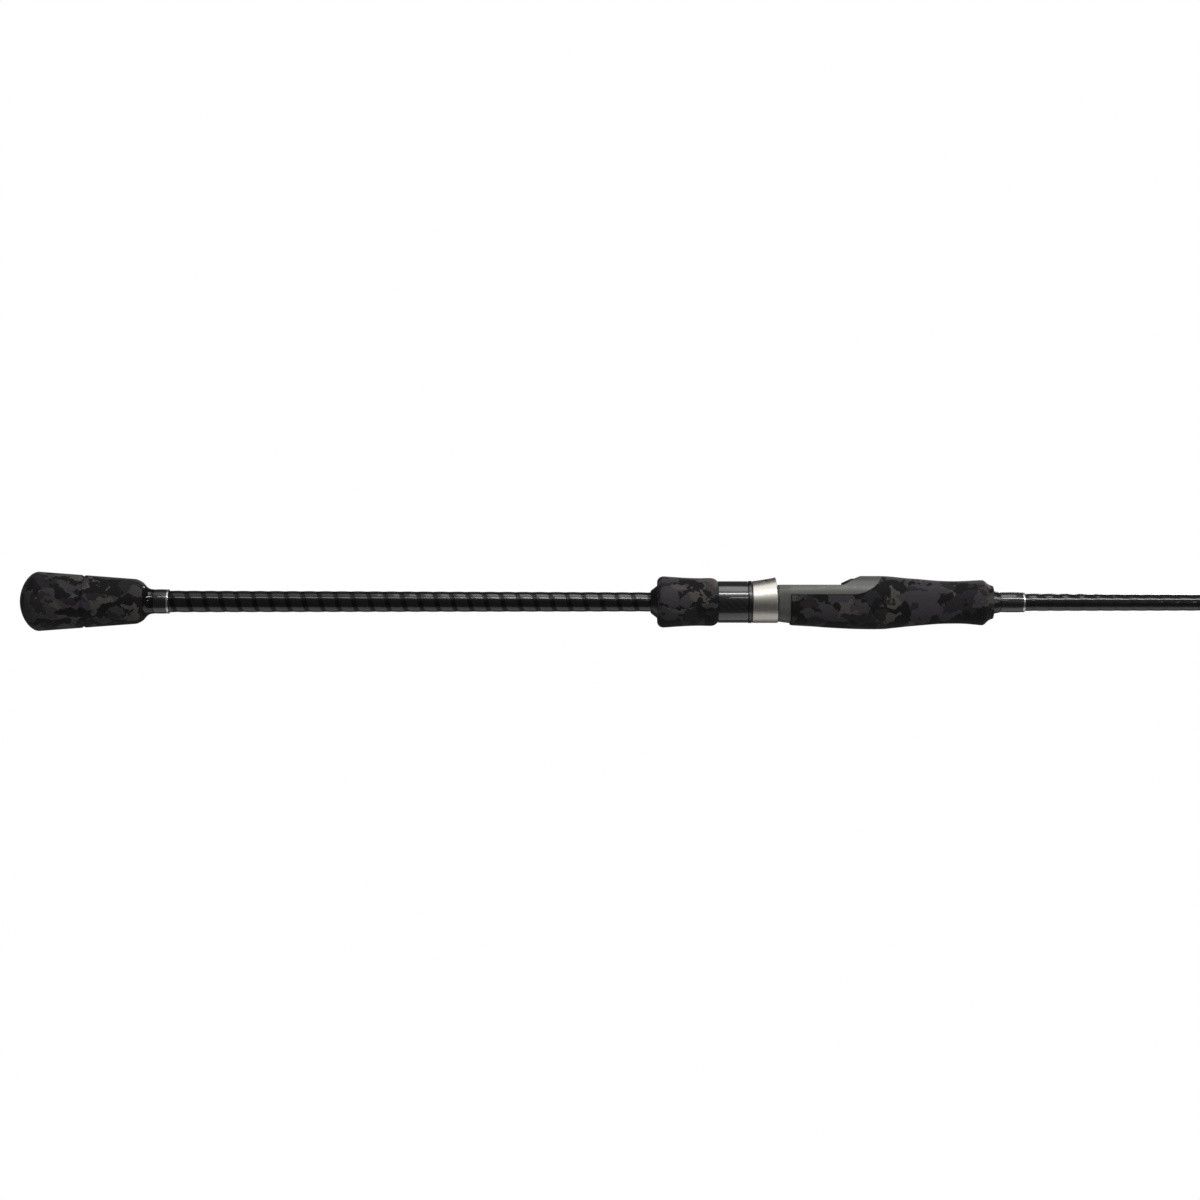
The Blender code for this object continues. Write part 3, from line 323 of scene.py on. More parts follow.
@dataclass(frozen=True)
class GlossCarbon(Finish):
    """Unidirectional carbon under clear resin, cured in a wound tape and not sanded.

    The resin is glossy over near-black fibre between the tape's edges and dull along them.

    Attributes:
        pitch_mm: the tape's pitch along the rod.
        edge: where the dull edge ends and where full gloss starts, as shares of the pitch.
        window: sRGB hex between the tape's edges.
        front_ridge: gloss left along the edges ahead of the seat, where the resin is thicker.
        seat_mm: the stretch under the seat along which it grows to that.
        dull: gloss left along the edges behind the seat.
        fibre_mm: spacing of the fibre bundles, drawn coarser than real ones.
        contrast: how much a bundle changes the brightness.
        depth_mm: height of a bundle.
    """

    LEVELS = {"Specular IOR Level": 0.2, "Coat Roughness": 0.08}

    pitch_mm: float = 8.9
    edge: tuple[float, float] = (0.1, 0.2)
    window: str = "#110f11"
    front_ridge: float = 0.75
    seat_mm: tuple[float, float] = (-40.0, 0.0)
    dull: float = 0.03
    fibre_mm: float = 0.8
    contrast: float = 0.45
    depth_mm: float = 0.01

    def paint(self, tree: Tree, shader: bpy.types.Node) -> None:
        """Adds the tape's edges, the fibre and the resin.

        Args:
            tree: the material's nodes.
            shader: its Principled BSDF.
        """
        place = self.millimetres(tree)
        along, turn = self.turns(tree, place)
        wraps = add_node(tree, "Math", {0: along, 1: self.pitch_mm}, operation="DIVIDE").outputs[0]
        phase = add_node(tree, "Math", {0: wraps, 1: turn}, operation="ADD").outputs[0]
        away = add_node(tree, "Math", {0: phase, 1: 0.5}, operation="PINGPONG").outputs[0]
        low, high = self.seat_mm
        inputs = {"Value": along, "From Min": low, "From Max": high, "To Max": self.front_ridge}
        least = add_node(tree, "MapRange", inputs).outputs[0]
        low, high = self.edge
        inputs = {"Value": away, "From Min": low, "From Max": high, "To Min": least}
        share = add_node(tree, "MapRange", inputs, interpolation_type="SMOOTHSTEP").outputs[0]
        inputs = {"Factor": share, 6: linear(self.colour), 7: linear(self.window)}
        tone = add_node(tree, "Mix", inputs, data_type="RGBA").outputs[2]
        coat = add_node(tree, "MapRange", {"Value": share, "To Min": self.dull}).outputs[0]
        tree.links.new(coat, shader.inputs["Coat Weight"])
        # The bundles run along the blank.
        inputs = {"Vector": place, "Scale": (0.12, 1.0, 1.0)}
        stretched = add_node(tree, "Mapping", inputs).outputs[0]
        inputs = {"Vector": stretched, "Scale": 1 / self.fibre_mm, "Detail": 3.0}
        fibre = add_node(tree, "TexNoise", inputs).outputs["Fac"]
        self.shade(tree, shader, fibre, self.contrast, tone)
        self.bump(tree, shader, fibre, self.depth_mm)


@dataclass(frozen=True)
class CarbonTwill(Finish):
    """Two-by-two carbon twill under gloss resin: near-black, with fine steps of lighter tows.

    Attributes:
        tow_mm: width of a tow.
        tows_round: number of tows round the sleeve.
        bright: sRGB hex of the tows that run along the rod.
        depth_mm: height of a tow's crown.
    """

    LEVELS = {"Coat Weight": 1.0, "Coat Roughness": 0.04}

    tow_mm: float = 1.0
    tows_round: int = 72
    bright: str = "#1a1a1c"
    depth_mm: float = 0.06

    def paint(self, tree: Tree, shader: bpy.types.Node) -> None:
        """Adds the twill and the resin.

        Args:
            tree: the material's nodes.
            shader: its Principled BSDF.
        """
        along, turn = self.turns(tree, self.millimetres(tree))
        column = add_node(tree, "Math", {0: along, 1: self.tow_mm}, operation="DIVIDE").outputs[0]
        inputs = {0: turn, 1: float(self.tows_round)}
        row = add_node(tree, "Math", inputs, operation="MULTIPLY").outputs[0]
        cells, crowns = [], []
        for line in (column, row):
            cells.append(add_node(tree, "Math", {0: line}, operation="FLOOR").outputs[0])
            inputs = {0: line, 1: 0.5}
            crowns.append(add_node(tree, "Math", inputs, operation="PINGPONG").outputs[0])
        total = add_node(tree, "Math", dict(enumerate(cells)), operation="ADD").outputs[0]
        # Over two tows and under two, one tow further on in each row.
        step = add_node(tree, "Math", {0: total, 1: 4.0}, operation="FLOORED_MODULO").outputs[0]
        over = add_node(tree, "Math", {0: step, 1: 1.5}, operation="LESS_THAN").outputs[0]
        inputs = {"Factor": over, 6: linear(self.colour), 7: linear(self.bright)}
        tone = add_node(tree, "Mix", inputs, data_type="RGBA").outputs[2]
        tree.links.new(tone, shader.inputs["Base Color"])
        height = add_node(tree, "Math", dict(enumerate(crowns)), operation="MULTIPLY").outputs[0]
        self.bump(tree, shader, height, self.depth_mm)


@dataclass(frozen=True)
class BrushedMetal(Finish):
    """Metal brushed or turned round the rod, so its lines run round it.

    Attributes:
        line_mm: spacing of the brush lines. Real ones are near 0.05 mm, and these are drawn
            coarser to show.
        depth_mm: their depth.
        contrast: how much a line changes the metal's brightness.
    """

    LEVELS = {"Metallic": 1.0}

    line_mm: float = 0.35
    depth_mm: float = 0.012
    contrast: float = 0.14

    def paint(self, tree: Tree, shader: bpy.types.Node) -> None:
        """Adds the brush lines.

        Args:
            tree: the material's nodes.
            shader: its Principled BSDF.
        """
        # A line runs fifty times its width before it fades out.
        inputs = {"Vector": self.millimetres(tree), "Scale": (1.0, 0.02, 0.02)}
        squeezed = add_node(tree, "Mapping", inputs).outputs[0]
        inputs = {"Vector": squeezed, "Scale": 1 / self.line_mm, "Detail": 3.0, "Roughness": 0.7}
        lines = add_node(tree, "TexNoise", inputs).outputs["Fac"]
        self.shade(tree, shader, lines, self.contrast)
        self.roughen(tree, shader, lines, 0.75, 1.3)
        self.bump(tree, shader, lines, self.depth_mm)


@dataclass(frozen=True)
class Moulded(Finish):
    """Injection-moulded plastic with the mould's fine spark-eroded texture.

    Attributes:
        grain_mm: the texture's grain.
        depth_mm: its depth.
        contrast: how much the grain changes the brightness.
    """

    grain_mm: float = 0.4
    depth_mm: float = 0.03
    contrast: float = 0.15

    def paint(self, tree: Tree, shader: bpy.types.Node) -> None:
        """Adds the grain.

        Args:
            tree: the material's nodes.
            shader: its Principled BSDF.
        """
        inputs = {"Vector": self.millimetres(tree), "Scale": 1 / self.grain_mm, "Detail": 3.0}
        grain = add_node(tree, "TexNoise", inputs).outputs["Fac"]
        self.shade(tree, shader, grain, self.contrast)
        self.roughen(tree, shader, grain, 0.8, 1.2)
        self.bump(tree, shader, grain, self.depth_mm)


@dataclass(frozen=True)
class ThreadWrap(Finish):
    """Thread wound round the rod and flooded with clear epoxy: its turns show through the gloss.

    Attributes:
        thread_mm: the thread's width. Real thread is 0.15 mm, and this is drawn wider to show.
        metallic: 1 for metallic thread.
        contrast: how much a turn changes the brightness.
        depth_mm: height of a turn under the epoxy.
    """

    LEVELS = {"Coat Weight": 1.0, "Coat Roughness": 0.03}

    thread_mm: float = 0.4
    metallic: float = 0.0
    contrast: float = 0.4
    depth_mm: float = 0.016

    def paint(self, tree: Tree, shader: bpy.types.Node) -> None:
        """Adds the turns of thread and the epoxy.

        Args:
            tree: the material's nodes.
            shader: its Principled BSDF.
        """
        along, _ = self.turns(tree, self.millimetres(tree))
        inputs = {0: along, 1: tau / self.thread_mm}
        angle = add_node(tree, "Math", inputs, operation="MULTIPLY").outputs[0]
        wave = add_node(tree, "Math", {0: angle}, operation="SINE").outputs[0]
        turns = add_node(tree, "MapRange", {"Value": wave, "From Min": -1.0}).outputs[0]
        self.shade(tree, shader, turns, self.contrast)
        shader.inputs["Metallic"].default_value = self.metallic
        self.bump(tree, shader, turns, self.depth_mm)


@dataclass(frozen=True)
class Ceramic(Finish):
    """Sintered black ceramic, lapped to a mirror, with a faint cloud of grain in it.

    Attributes:
        cloud_mm: width of the cloud's parts.
    """

    LEVELS = {"IOR": 2.0}

    cloud_mm: float = 0.5

    def paint(self, tree: Tree, shader: bpy.types.Node) -> None:
        """Adds the grain's faint cloud.

        Args:
            tree: the material's nodes.
            shader: its Principled BSDF.
        """
        inputs = {"Vector": self.millimetres(tree), "Scale": 1 / self.cloud_mm, "Detail": 4.0}
        cloud = add_node(tree, "TexNoise", inputs).outputs["Fac"]
        self.roughen(tree, shader, cloud, 0.6, 1.4)


CAMO = CamoFoam("eva_foam_camouflage_sanded", "camo_foam", "#17141a", 0.78)
CARBON = GlossCarbon("carbon_blank_unsanded_gloss", "carbon_blank", "#0a0a0b", 0.3)
TWILL = CarbonTwill("carbon_twill_gloss", "carbon_weave", "#09090a", 0.3)
STEEL = BrushedMetal("stainless_steel_brushed", "hood_steel", "#bdb9b1", 0.38)
ALUMINIUM = BrushedMetal(
    "aluminium_anodised_gunmetal", "dark_aluminium", "#4a4a4d", 0.3, contrast=0.08
)
CHROME = BrushedMetal(
    "stainless_steel_black_chromed", "guide_steel", "#3c3c40", 0.16, depth_mm=0.003, contrast=0.05
)
NYLON = Moulded("nylon_moulded_satin_grey", "seat_nylon", "#5b5c58", 0.38)
BLACK_NYLON = Moulded("nylon_moulded_black", "black_nylon", "#0c0c0d", 0.4)
CHECK = Moulded("abs_moulded_gloss_black", "black_nylon", "#0a0a0b", 0.1, depth_mm=0.004)
ARBOR = Moulded("polyurethane_foam_arbor", "arbor_foam", "#b7a988", 0.9, 1.2, 0.3)
WRAP = ThreadWrap("nylon_thread_black_epoxied", "black_wrap", "#0a0a0c", 0.35)
SILVER = ThreadWrap("metallic_thread_silver_epoxied", "silver_wrap", "#c4c4c6", 0.3, metallic=1.0)
RING = Ceramic("silicon_nitride_lapped", "black_ceramic", "#0d0d0f", 0.08)


# ---------------------------------------------------------------- shaping


def linked(name: str, data: bpy.types.ID) -> bpy.types.Object:
    """Puts a mesh, a light or a camera into the scene.

    Args:
        name: the new object's name.
        data: what it holds.

    Returns:
        The object.
    """
    made = bpy.data.objects.new(name, data)
    bpy.context.scene.collection.objects.link(made)
    return made


def as_mesh(form: Form, name: str) -> bpy.types.Mesh:
    """Turns a form to a mesh and frees it.

    Args:
        form: the form.
        name: the mesh's name.

    Returns:
        The mesh.
    """
    mesh = bpy.data.meshes.new(name)
    form.to_mesh(mesh)
    form.free()
    return mesh


def facing(place: Vector, way: Vector) -> Matrix:
    """Gives the turn and the place of a shape whose Z is to face a way.

    Args:
        place: where the shape's middle goes.
        way: the way.

    Returns:
        The matrix of both.
    """
    return Matrix.Translation(place) @ way.to_track_quat("Z", "Y").to_matrix().to_4x4()


def smooth_line(points: Outline, steps: int = 6) -> list[Point]:
    """Draws a smooth curve through a few points.

    Args:
        points: what it passes through, flat or in space.
        steps: stretches between two of them.

    Returns:
        The curve's points.
    """
    ends = [Vector(point) for point in (points[0], *points, points[-1])]
    line = []
    for before, start, end, after in zip(ends, ends[1:], ends[2:], ends[3:]):
        for step in range(steps):
            t = step / steps
            bend = start * (2 - 5 * t**2 + 3 * t**3) + end * (t + 4 * t**2 - 3 * t**3)
            bend += before * (-t + 2 * t**2 - t**3) + after * (t**3 - t**2)
            line.append(bend / 2)
    return [*line, points[-1]]


def profile(rear: float, front: float, radius: Callable[[float], float], steps: int) -> Outline:
    """Draws a surface whose radius changes along the rod.

    Args:
        rear: x where it starts.
        front: x where it ends.
        radius: gives its radius at a share of the way.
        steps: stretches that it is drawn in.

    Returns:
        Its (x, radius) points.
    """
    shares = [step / steps for step in range(steps + 1)]
    return [(rear + share * (front - rear), radius(share)) for share in shares]


def eased(corners: Outline, ease: float, closed: bool = True, steps: int = 4) -> Outline:
    """Rounds the corners of an outline.

    Args:
        corners: the outline's points.
        ease: how far from a corner its rounding starts.
        closed: whether the last point joins the first.
        steps: stretches in each rounding.

    Returns:
        The rounded outline.
    """
    points = [Vector(corner) for corner in corners]
    line = []
    for place, corner in enumerate(points):
        before, after = points[place - 1], points[(place + 1) % len(points)]
        if not closed and place in (0, len(points) - 1):
            line.append(tuple(corner))
            continue
        near = corner + (before - corner).normalized() * ease
        far = corner + (after - corner).normalized() * ease
        for step in range(steps + 1):
            t = step / steps
            line.append(tuple(near * (1 - t) ** 2 + corner * 2 * t * (1 - t) + far * t**2))
    return line


def divided(points: Outline, longest: float, closed: bool = True) -> Outline:
    """Splits an outline's long stretches.

    Args:
        points: the outline.
        longest: the longest stretch that may stay.
        closed: whether the last point joins the first.

    Returns:
        The outline with more points.
    """
    line = []
    for start, end in pairwise([*points, points[0]] if closed else points):
        parts = max(1, ceil(hypot(end[0] - start[0], end[1] - start[1]) / longest))
        for part in range(parts):
            t = part / parts
            line.append((start[0] + t * (end[0] - start[0]), start[1] + t * (end[1] - start[1])))
    return line if closed else [*line, points[-1]]


def turned(outline: Outline, steps: int = 96) -> Form:
    """Turns an outline about the rod's centre line.

    Args:
        outline: (x, radius) points in order. It is closed, or it starts and ends on the axis.
        steps: steps round the axis.

    Returns:
        The closed form.
    """
    form = bmesh.new()
    points = [form.verts.new((x, 0.0, radius)) for x, radius in outline]
    for start, end in pairwise(points):
        form.edges.new((start, end))
    if min(radius for _, radius in outline) > 0:
        form.edges.new((points[-1], points[0]))
    bmesh.ops.spin(
        form,
        geom=form.verts[:] + form.edges[:],
        cent=(0.0, 0.0, 0.0),
        axis=(1.0, 0.0, 0.0),
        angle=tau,
        steps=steps,
        use_merge=True,
    )
    bmesh.ops.remove_doubles(form, verts=form.verts, dist=SAME)
    bmesh.ops.recalc_face_normals(form, faces=form.faces)
    bmesh.ops.translate(form, verts=form.verts, vec=(0.0, 0.0, AXIS_Z))
    return form


def ring(rear: float, front: float, bore: float, radius: float, ease: float = 0.15 * MM) -> Form:
    """A plain turned ring with rounded edges.

    Args:
        rear: x of its rear face.
        front: x of its front face.
        bore: inner radius.
        radius: outer radius.
        ease: the rounding of its edges.

    Returns:
        The closed form.
    """
    corners = [(rear, bore), (rear, radius), (front, radius), (front, bore)]
    return turned(eased(corners, ease))


def around(form: Form) -> Iterator[tuple[bmesh.types.BMVert, float, float]]:
    """Goes round the rod's centre line through a form's points.

    Args:
        form: the form.

    Yields:
        Each point, its radius and its angle from the top.
    """
    for vert in form.verts:
        up = vert.co.z - AXIS_Z
        yield vert, hypot(vert.co.y, up), atan2(vert.co.y, up)


def reshaped(form: Form, section: Section) -> Form:
    """Gives a turned form of radius 1 another section.

    Args:
        form: the turned form.
        section: gives the place across and up at x and at an angle from the top.

    Returns:
        The same form.
    """
    for vert, radius, turn in around(form):
        if radius > SAME:
            across, over = section(vert.co.x, turn)
            vert.co.y = radius * across
            vert.co.z = AXIS_Z + radius * over
    return form


def squared(value: float, power: float) -> float:
    """Bends a sine or cosine towards a squarer section. A power of 2 leaves it."""
    return (1 if value > 0 else -1) * abs(value) ** (2 / power)


def prism(outline: Outline, along: Vector, plane: Matrix) -> Form:
    """Gives a flat outline a thickness.

    Args:
        outline: points in the plane's X and Y.
        along: the way and length that it is drawn out.
        plane: turns the plane's X and Y to where they lie.

    Returns:
        The closed form.
    """
    form = bmesh.new()
    points = [form.verts.new(plane @ Vector((a, b, 0.0))) for a, b in outline]
    face = form.faces.new(points)
    drawn = bmesh.ops.extrude_face_region(form, geom=[face])["geom"]
    moved = [part for part in drawn if isinstance(part, bmesh.types.BMVert)]
    bmesh.ops.translate(form, verts=moved, vec=along)
    bmesh.ops.recalc_face_normals(form, faces=form.faces)
    return form


def block(low: Sequence[float], high: Sequence[float]) -> Form:
    """A box between two corners."""
    form = bmesh.new()
    spans = [b - a for a, b in zip(low, high, strict=True)]
    middle = [(a + b) / 2 for a, b in zip(low, high, strict=True)]
    place = Matrix.Translation(middle) @ Matrix.Diagonal((*spans, 1.0))
    bmesh.ops.create_cube(form, size=1.0, matrix=place)
    return form


def drawn_on(
    form: Form, edges: list[bmesh.types.BMEdge], way: Vector
) -> tuple[list[bmesh.types.BMEdge], list[bmesh.types.BMVert]]:
    """Draws a line of edges on by one strip of faces.

    Args:
        form: the form that they belong to.
        edges: the line.
        way: how far it is drawn.

    Returns:
        The strip's far edges, and their vertices.
    """
    drawn = bmesh.ops.extrude_edge_only(form, edges=edges)["geom"]
    verts = [part for part in drawn if isinstance(part, bmesh.types.BMVert)]
    bmesh.ops.translate(form, verts=verts, vec=way)
    ends = set(verts)
    lines = [part for part in drawn if isinstance(part, bmesh.types.BMEdge)]
    return [line for line in lines if ends.issuperset(line.verts)], verts


def swept(
    path: Sequence[Vector],
    radius: float,
    sides: int = 14,
    start: float = 1.0,
    finish: float = 1.0,
) -> Form:
    """Draws a round wire along a path.

    Args:
        path: the wire's centre line.
        radius: the wire's radius.
        sides: sides of its section.
        start: share of the radius that it starts with.
        finish: share of the radius that it ends with.

    Returns:
        The closed form.
    """
    form = bmesh.new()
    heading = (path[1] - path[0]).normalized()
    place = facing(path[0], heading)
    size = radius * start
    bmesh.ops.create_circle(form, cap_ends=False, segments=sides, radius=size, matrix=place)
    rim = form.edges[:]
    for number, (near, end) in enumerate(pairwise(path), 2):
        after = path[number] if number < len(path) else end + (end - near)
        turn = ((end - near).normalized() + (after - end).normalized()).normalized()
        rim, verts = drawn_on(form, rim, end - near)
        spin = heading.rotation_difference(turn).to_matrix()
        bmesh.ops.rotate(form, verts=verts, cent=end, matrix=spin)
        heading = turn
        gained, left = (number - 1) / THINNED, (len(path) - number) / THINNED
        wider = radius * min(1.0, start + gained, finish + left)
        for vert in verts:
            vert.co = end + (vert.co - end) * wider / size
        size = wider
    bmesh.ops.holes_fill(form, edges=form.edges)
    bmesh.ops.recalc_face_normals(form, faces=form.faces)
    return form


def combined(form: Form, other: Form, operation: str = "DIFFERENCE", own: bool = False) -> Form:
    """Cuts a form with another, or joins them into one closed form.

    Args:
        form: what is cut or joined to.
        other: the cutter or the added form.
        operation: DIFFERENCE or UNION.
        own: whether a form may cross itself, as a sharply bent wire does.

    Returns:
        The new form. Both of the old ones are gone.
    """
    pair = [linked("shape", as_mesh(shape, "shape")) for shape in (form, other)]
    boolean = pair[0].modifiers.new("combine", "BOOLEAN")
    boolean.operation = operation
    boolean.solver = "EXACT"
    boolean.use_self = own
    boolean.object = pair[1]
    result = bmesh.new()
    result.from_object(pair[0], bpy.context.evaluated_depsgraph_get())
    for holder in pair:
        bpy.data.meshes.remove(holder.data)
    bmesh.ops.remove_doubles(result, verts=result.verts, dist=SAME / 10)
    return result


def dress(node: str, finish: Finish) -> None:
    """Gives a node of the frame, whose shape stays, a better finish.

    Args:
        node: the node's name.
        finish: its new finish.
    """
    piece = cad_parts[node]
    piece.data.materials.clear()
    piece.data.materials.append(finish.material())
    LOG.info("%s: kept, in %s", node, finish.name)


@cache
def span(node: str) -> tuple[float, float]:
    """A node's rear and front x."""
    low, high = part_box(node)
    return low.x, high.x


@cache
def half_width(node: str) -> float:
    """Half of a node's width, which is a round node's radius."""
    low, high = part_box(node)
    return (high.y - low.y) / 2


@dataclass
class Assembly:
    """Pieces that ride on one body.

    Attributes:
        body: that body.
    """

    body: Body = field(default=Body.ROD, kw_only=True)

    def place(self, form: Form, name: str, finish: Finish, *nodes: str) -> bpy.types.Object:
        """Makes a finished form a piece of the object.

        Args:
            form: the closed form, in its place.
            name: the piece's name.
            finish: its finish.
            *nodes: the frame's nodes that it stands for.

        Returns:
            The piece.
        """
        mesh = as_mesh(form, name)
        mesh.shade_smooth()
        mesh.set_sharp_from_angle(angle=SHARP)
        mesh.materials.append(finish.material())
        piece = linked(name, mesh)
        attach(piece, self.body.value)
        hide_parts(*nodes)
        LOG.info("%s: %d faces, in %s", name, len(mesh.polygons), finish.name)
        return piece


# ---------------------------------------------------------------- the rod


@dataclass
class Blank(Assembly):
    """The tapered carbon tube, with the ripple that its wound tapes leave.

    Attributes:
        tip_radius: outer radius at the tip.
        butt_wall: wall at the butt.
        tip_wall: wall at the tip.
        pitch: the tapes' pitch along the blank.
        ripple: height of one tape's ripple.
        wound_share: share of the ripple that the outer tape makes. The crossed one makes the rest.
        samples: points along one pitch.
        sides: points round the blank.
    """

    tip_radius: float = 1.1 * MM
    butt_wall: float = 1.2 * MM
    tip_wall: float = 0.5 * MM
    pitch: float = 8.9 * MM
    ripple: float = 0.2 * MM
    wound_share: float = 0.7
    samples: int = 9
    sides: int = 40

    def radius_at(self, x: float) -> float:
        """Outer radius of the blank at x."""
        rear, front = span("blank")
        share = (x - rear) / (front - rear)
        return half_width("blank") + share * (self.tip_radius - half_width("blank"))

    def ripple_at(self, x: float, turn: float) -> float:
        """How far the surface dips at x and at an angle, as a share of the ripple.

        Args:
            x: the place along the rod.
            turn: the angle from the top.

        Returns:
            The dip, from 0 to 1.
        """
        wound, crossed = (
            (2 * ((x / self.pitch + hand * turn / tau) % 1.0) - 1) ** 2 for hand in (1, -1)
        )
        return self.wound_share * wound + (1 - self.wound_share) * crossed

    def build(self) -> None:
        """Makes the tube and dresses the plug in its butt."""
        rear, front = span("blank")
        outer = [(rear, half_width("blank")), (front, self.tip_radius)]
        line = divided(outer, self.pitch / self.samples, closed=False)
        line.append((front, self.tip_radius - self.tip_wall))
        line.append((rear, half_width("blank") - self.butt_wall))
        form = turned(line, self.sides)
        for vert, radius, turn in around(form):
            if radius > self.radius_at(vert.co.x) - self.tip_wall / 2:
                dip = self.ripple / half_width("blank") * self.ripple_at(vert.co.x, turn)
                vert.co.y *= 1 - dip
                vert.co.z = AXIS_Z + (vert.co.z - AXIS_Z) * (1 - dip)
        self.place(form, "carbon_blank", CARBON, "blank")
        dress("butt_plug", BLACK_NYLON)


@dataclass
class ButtGrip(Assembly):
    """The foam butt grip, its flared check, its wrap and its silver band.

    Attributes:
        blank: the blank that they sit on.
        dome_length: length of the domed end.
        dome_power: its fullness. 2 would be an ellipse.
        dome_steps: stretches that it is drawn in.
        neck_radius: radius where the taper ends.
        nose_length: length of the rounded front.
        nose_drop: how much lower the front's edge is.
        lip: the small rounding at the very front.
        lip_share: the part of the nose's length that it takes up.
        groove_place: the groove's middle, from the end.
        groove_depth: its depth.
        groove_half: half of its width.
        butt_foam: foam behind the blank.
        check_edge: thickness of the check's thin front edge.
    """

    blank: Blank
    dome_length: float = 10.0 * MM
    dome_power: float = 1.8
    dome_steps: int = 24
    neck_radius: float = 12.15 * MM
    nose_length: float = 4.9 * MM
    nose_drop: float = 2.4 * MM
    lip: float = 0.5 * MM
    lip_share: float = 0.07
    groove_place: float = 34.3 * MM
    groove_depth: float = 0.6 * MM
    groove_half: float = 1.2 * MM
    butt_foam: float = 8.1 * MM
    check_edge: float = 0.4 * MM

    def build(self) -> None:
        """Makes the four pieces."""
        rear, front = span("butt_grip")
        widest = half_width("butt_grip")
        outline = [(rear, 0.0)]
        for step in range(1, self.dome_steps + 1):
            share = 1 - cos(step / self.dome_steps * pi / 2)
            height = (1 - (1 - share) ** self.dome_power) ** (1 / self.dome_power)
            outline.append((rear + share * self.dome_length, widest * height))
        taper_end = front - self.nose_length
        slope = (self.neck_radius - widest) / (taper_end - rear - self.dome_length)

        def taper(x: float) -> float:
            """Radius of the tapered stretch at x."""
            return widest + slope * (x - rear - self.dome_length)

        middle = rear + self.groove_place
        groove = []
        for share in (-1.5, -1.0, -0.75, -0.35, 0.0, 0.35, 0.75, 1.0, 1.5):
            x = middle + share * self.groove_half
            dip = self.groove_depth * max(0.0, cos(min(abs(share), 1.0) * pi / 2)) ** 1.3
            groove.append((x, taper(x) - dip))
        outline += smooth_line(groove, 3)
        outline.append((taper_end - self.nose_length / 2, taper(taper_end - self.nose_length / 2)))

        def nose(share: float) -> float:
            """Radius of the rounded front at a share of its length."""
            lip = self.lip * max(0.0, share - 1 + self.lip_share) / self.lip_share
            return self.neck_radius - self.nose_drop * share**1.6 - lip

        outline += profile(taper_end, front, nose, 16)
        bore = half_width("blank") + GAP
        outline += [(front, bore), (rear + self.butt_foam, bore), (rear + self.butt_foam, 0.0)]
        grip = turned(divided(outline, 1.5 * MM, closed=False))
        self.place(grip, "eva_butt_grip", CAMO, "butt_grip")

        start, end = span("butt_winding_check")
        low = self.blank.radius_at(start) + GAP
        flare = half_width("butt_winding_check") - low - self.check_edge
        rim = low + self.check_edge
        outline = [(end, low), (start, low)]
        outline += profile(start, end, lambda share: rim + flare * (1 - share) ** 2.6, 14)
        self.place(turned(outline), "gloss_butt_check", CHECK, "butt_winding_check")
        build_wrap(self, self.blank, "butt_wrap", "butt_trim_band")


def build_wrap(owner: Assembly, blank: Blank, wrap: str, band: str) -> None:
    """Makes a plain wrap round the blank and the silver band that ends it.

    The epoxy stands lower at the wrap's ends, as it does where it wets the blank.

    Args:
        owner: the sub-assembly that they belong to.
        blank: the blank under them.
        wrap: the wrap's node.
        band: the band's node.
    """
    for node, finish, crown in ((wrap, WRAP, 0.14 * MM), (band, SILVER, 0.05 * MM)):
        rear, front = span(node)
        bore = blank.radius_at(rear) + THREAD_GAP
        edge = half_width(node) - crown
        outline = [(front, bore), (rear, bore)]
        outline += profile(rear, front, lambda share: edge + crown * sin(pi * share) ** 0.5, 16)
        owner.place(turned(outline), f"epoxied_{node}", finish, node)


@dataclass
class LockNut(Assembly):
    """The nut that drives the movable hood: grip, sleeve, trim ring and end cap on its core.

    Attributes:
        core_radius: outer radius of the core, with its clearance.
        foam: thickest foam over the core.
        form: share of the grip's length, and of the thickest foam there.
        cap_wall: wall of the end cap at its small end.
        cap_flare: how much wider its front is.
    """

    body: Body = Body.NUT
    core_radius: float = 10.615 * MM
    foam: float = 3.25 * MM
    form: tuple[tuple[float, float], ...] = (
        (0.0, 0.25),
        (0.015, 0.56),
        (0.045, 0.84),
        (0.09, 0.98),
        (0.14, 0.97),
        (0.3, 0.86),
        (0.5, 0.74),
        (0.7, 0.69),
        (0.87, 0.72),
        (0.93, 0.65),
        (0.97, 0.45),
        (1.0, 0.2),
    )
    cap_wall: float = 0.45 * MM
    cap_flare: float = 2.8 * MM

    def build(self) -> None:
        """Makes the four pieces that show and dresses the core."""
        rear, front = span("nut_grip")
        points = [
            (rear + share * (front - rear), self.core_radius + foam * self.foam)
            for share, foam in self.form
        ]
        outline = [(front, self.core_radius), (rear, self.core_radius), *smooth_line(points, 5)]
        grip = turned(divided(outline, 1.2 * MM))
        self.place(grip, "eva_nut_grip", CAMO, "nut_grip")
        for node, name, finish, ease in (
            ("nut_carbon_sleeve", "twill_sleeve", TWILL, 0.15 * MM),
            ("nut_trim_ring", "anodised_trim_ring", ALUMINIUM, 0.25 * MM),
        ):
            form = ring(*span(node), self.core_radius, half_width(node), ease)
            self.place(form, name, finish, node)
        rear, front = span("nut_end_cap")
        front += GAP - 0.02 * MM  # up to the grip's foam, without touching it
        bore = half_width("nut_end_cap") - self.cap_flare - self.cap_wall
        corners = [(rear, bore), (rear, bore + self.cap_wall)]
        corners += [(front, half_width("nut_end_cap")), (front, bore)]
        cap = turned(eased(corners, 0.15 * MM))
        self.place(cap, "anodised_end_cap", ALUMINIUM, "nut_end_cap")
        dress("nut_core", BLACK_NYLON)


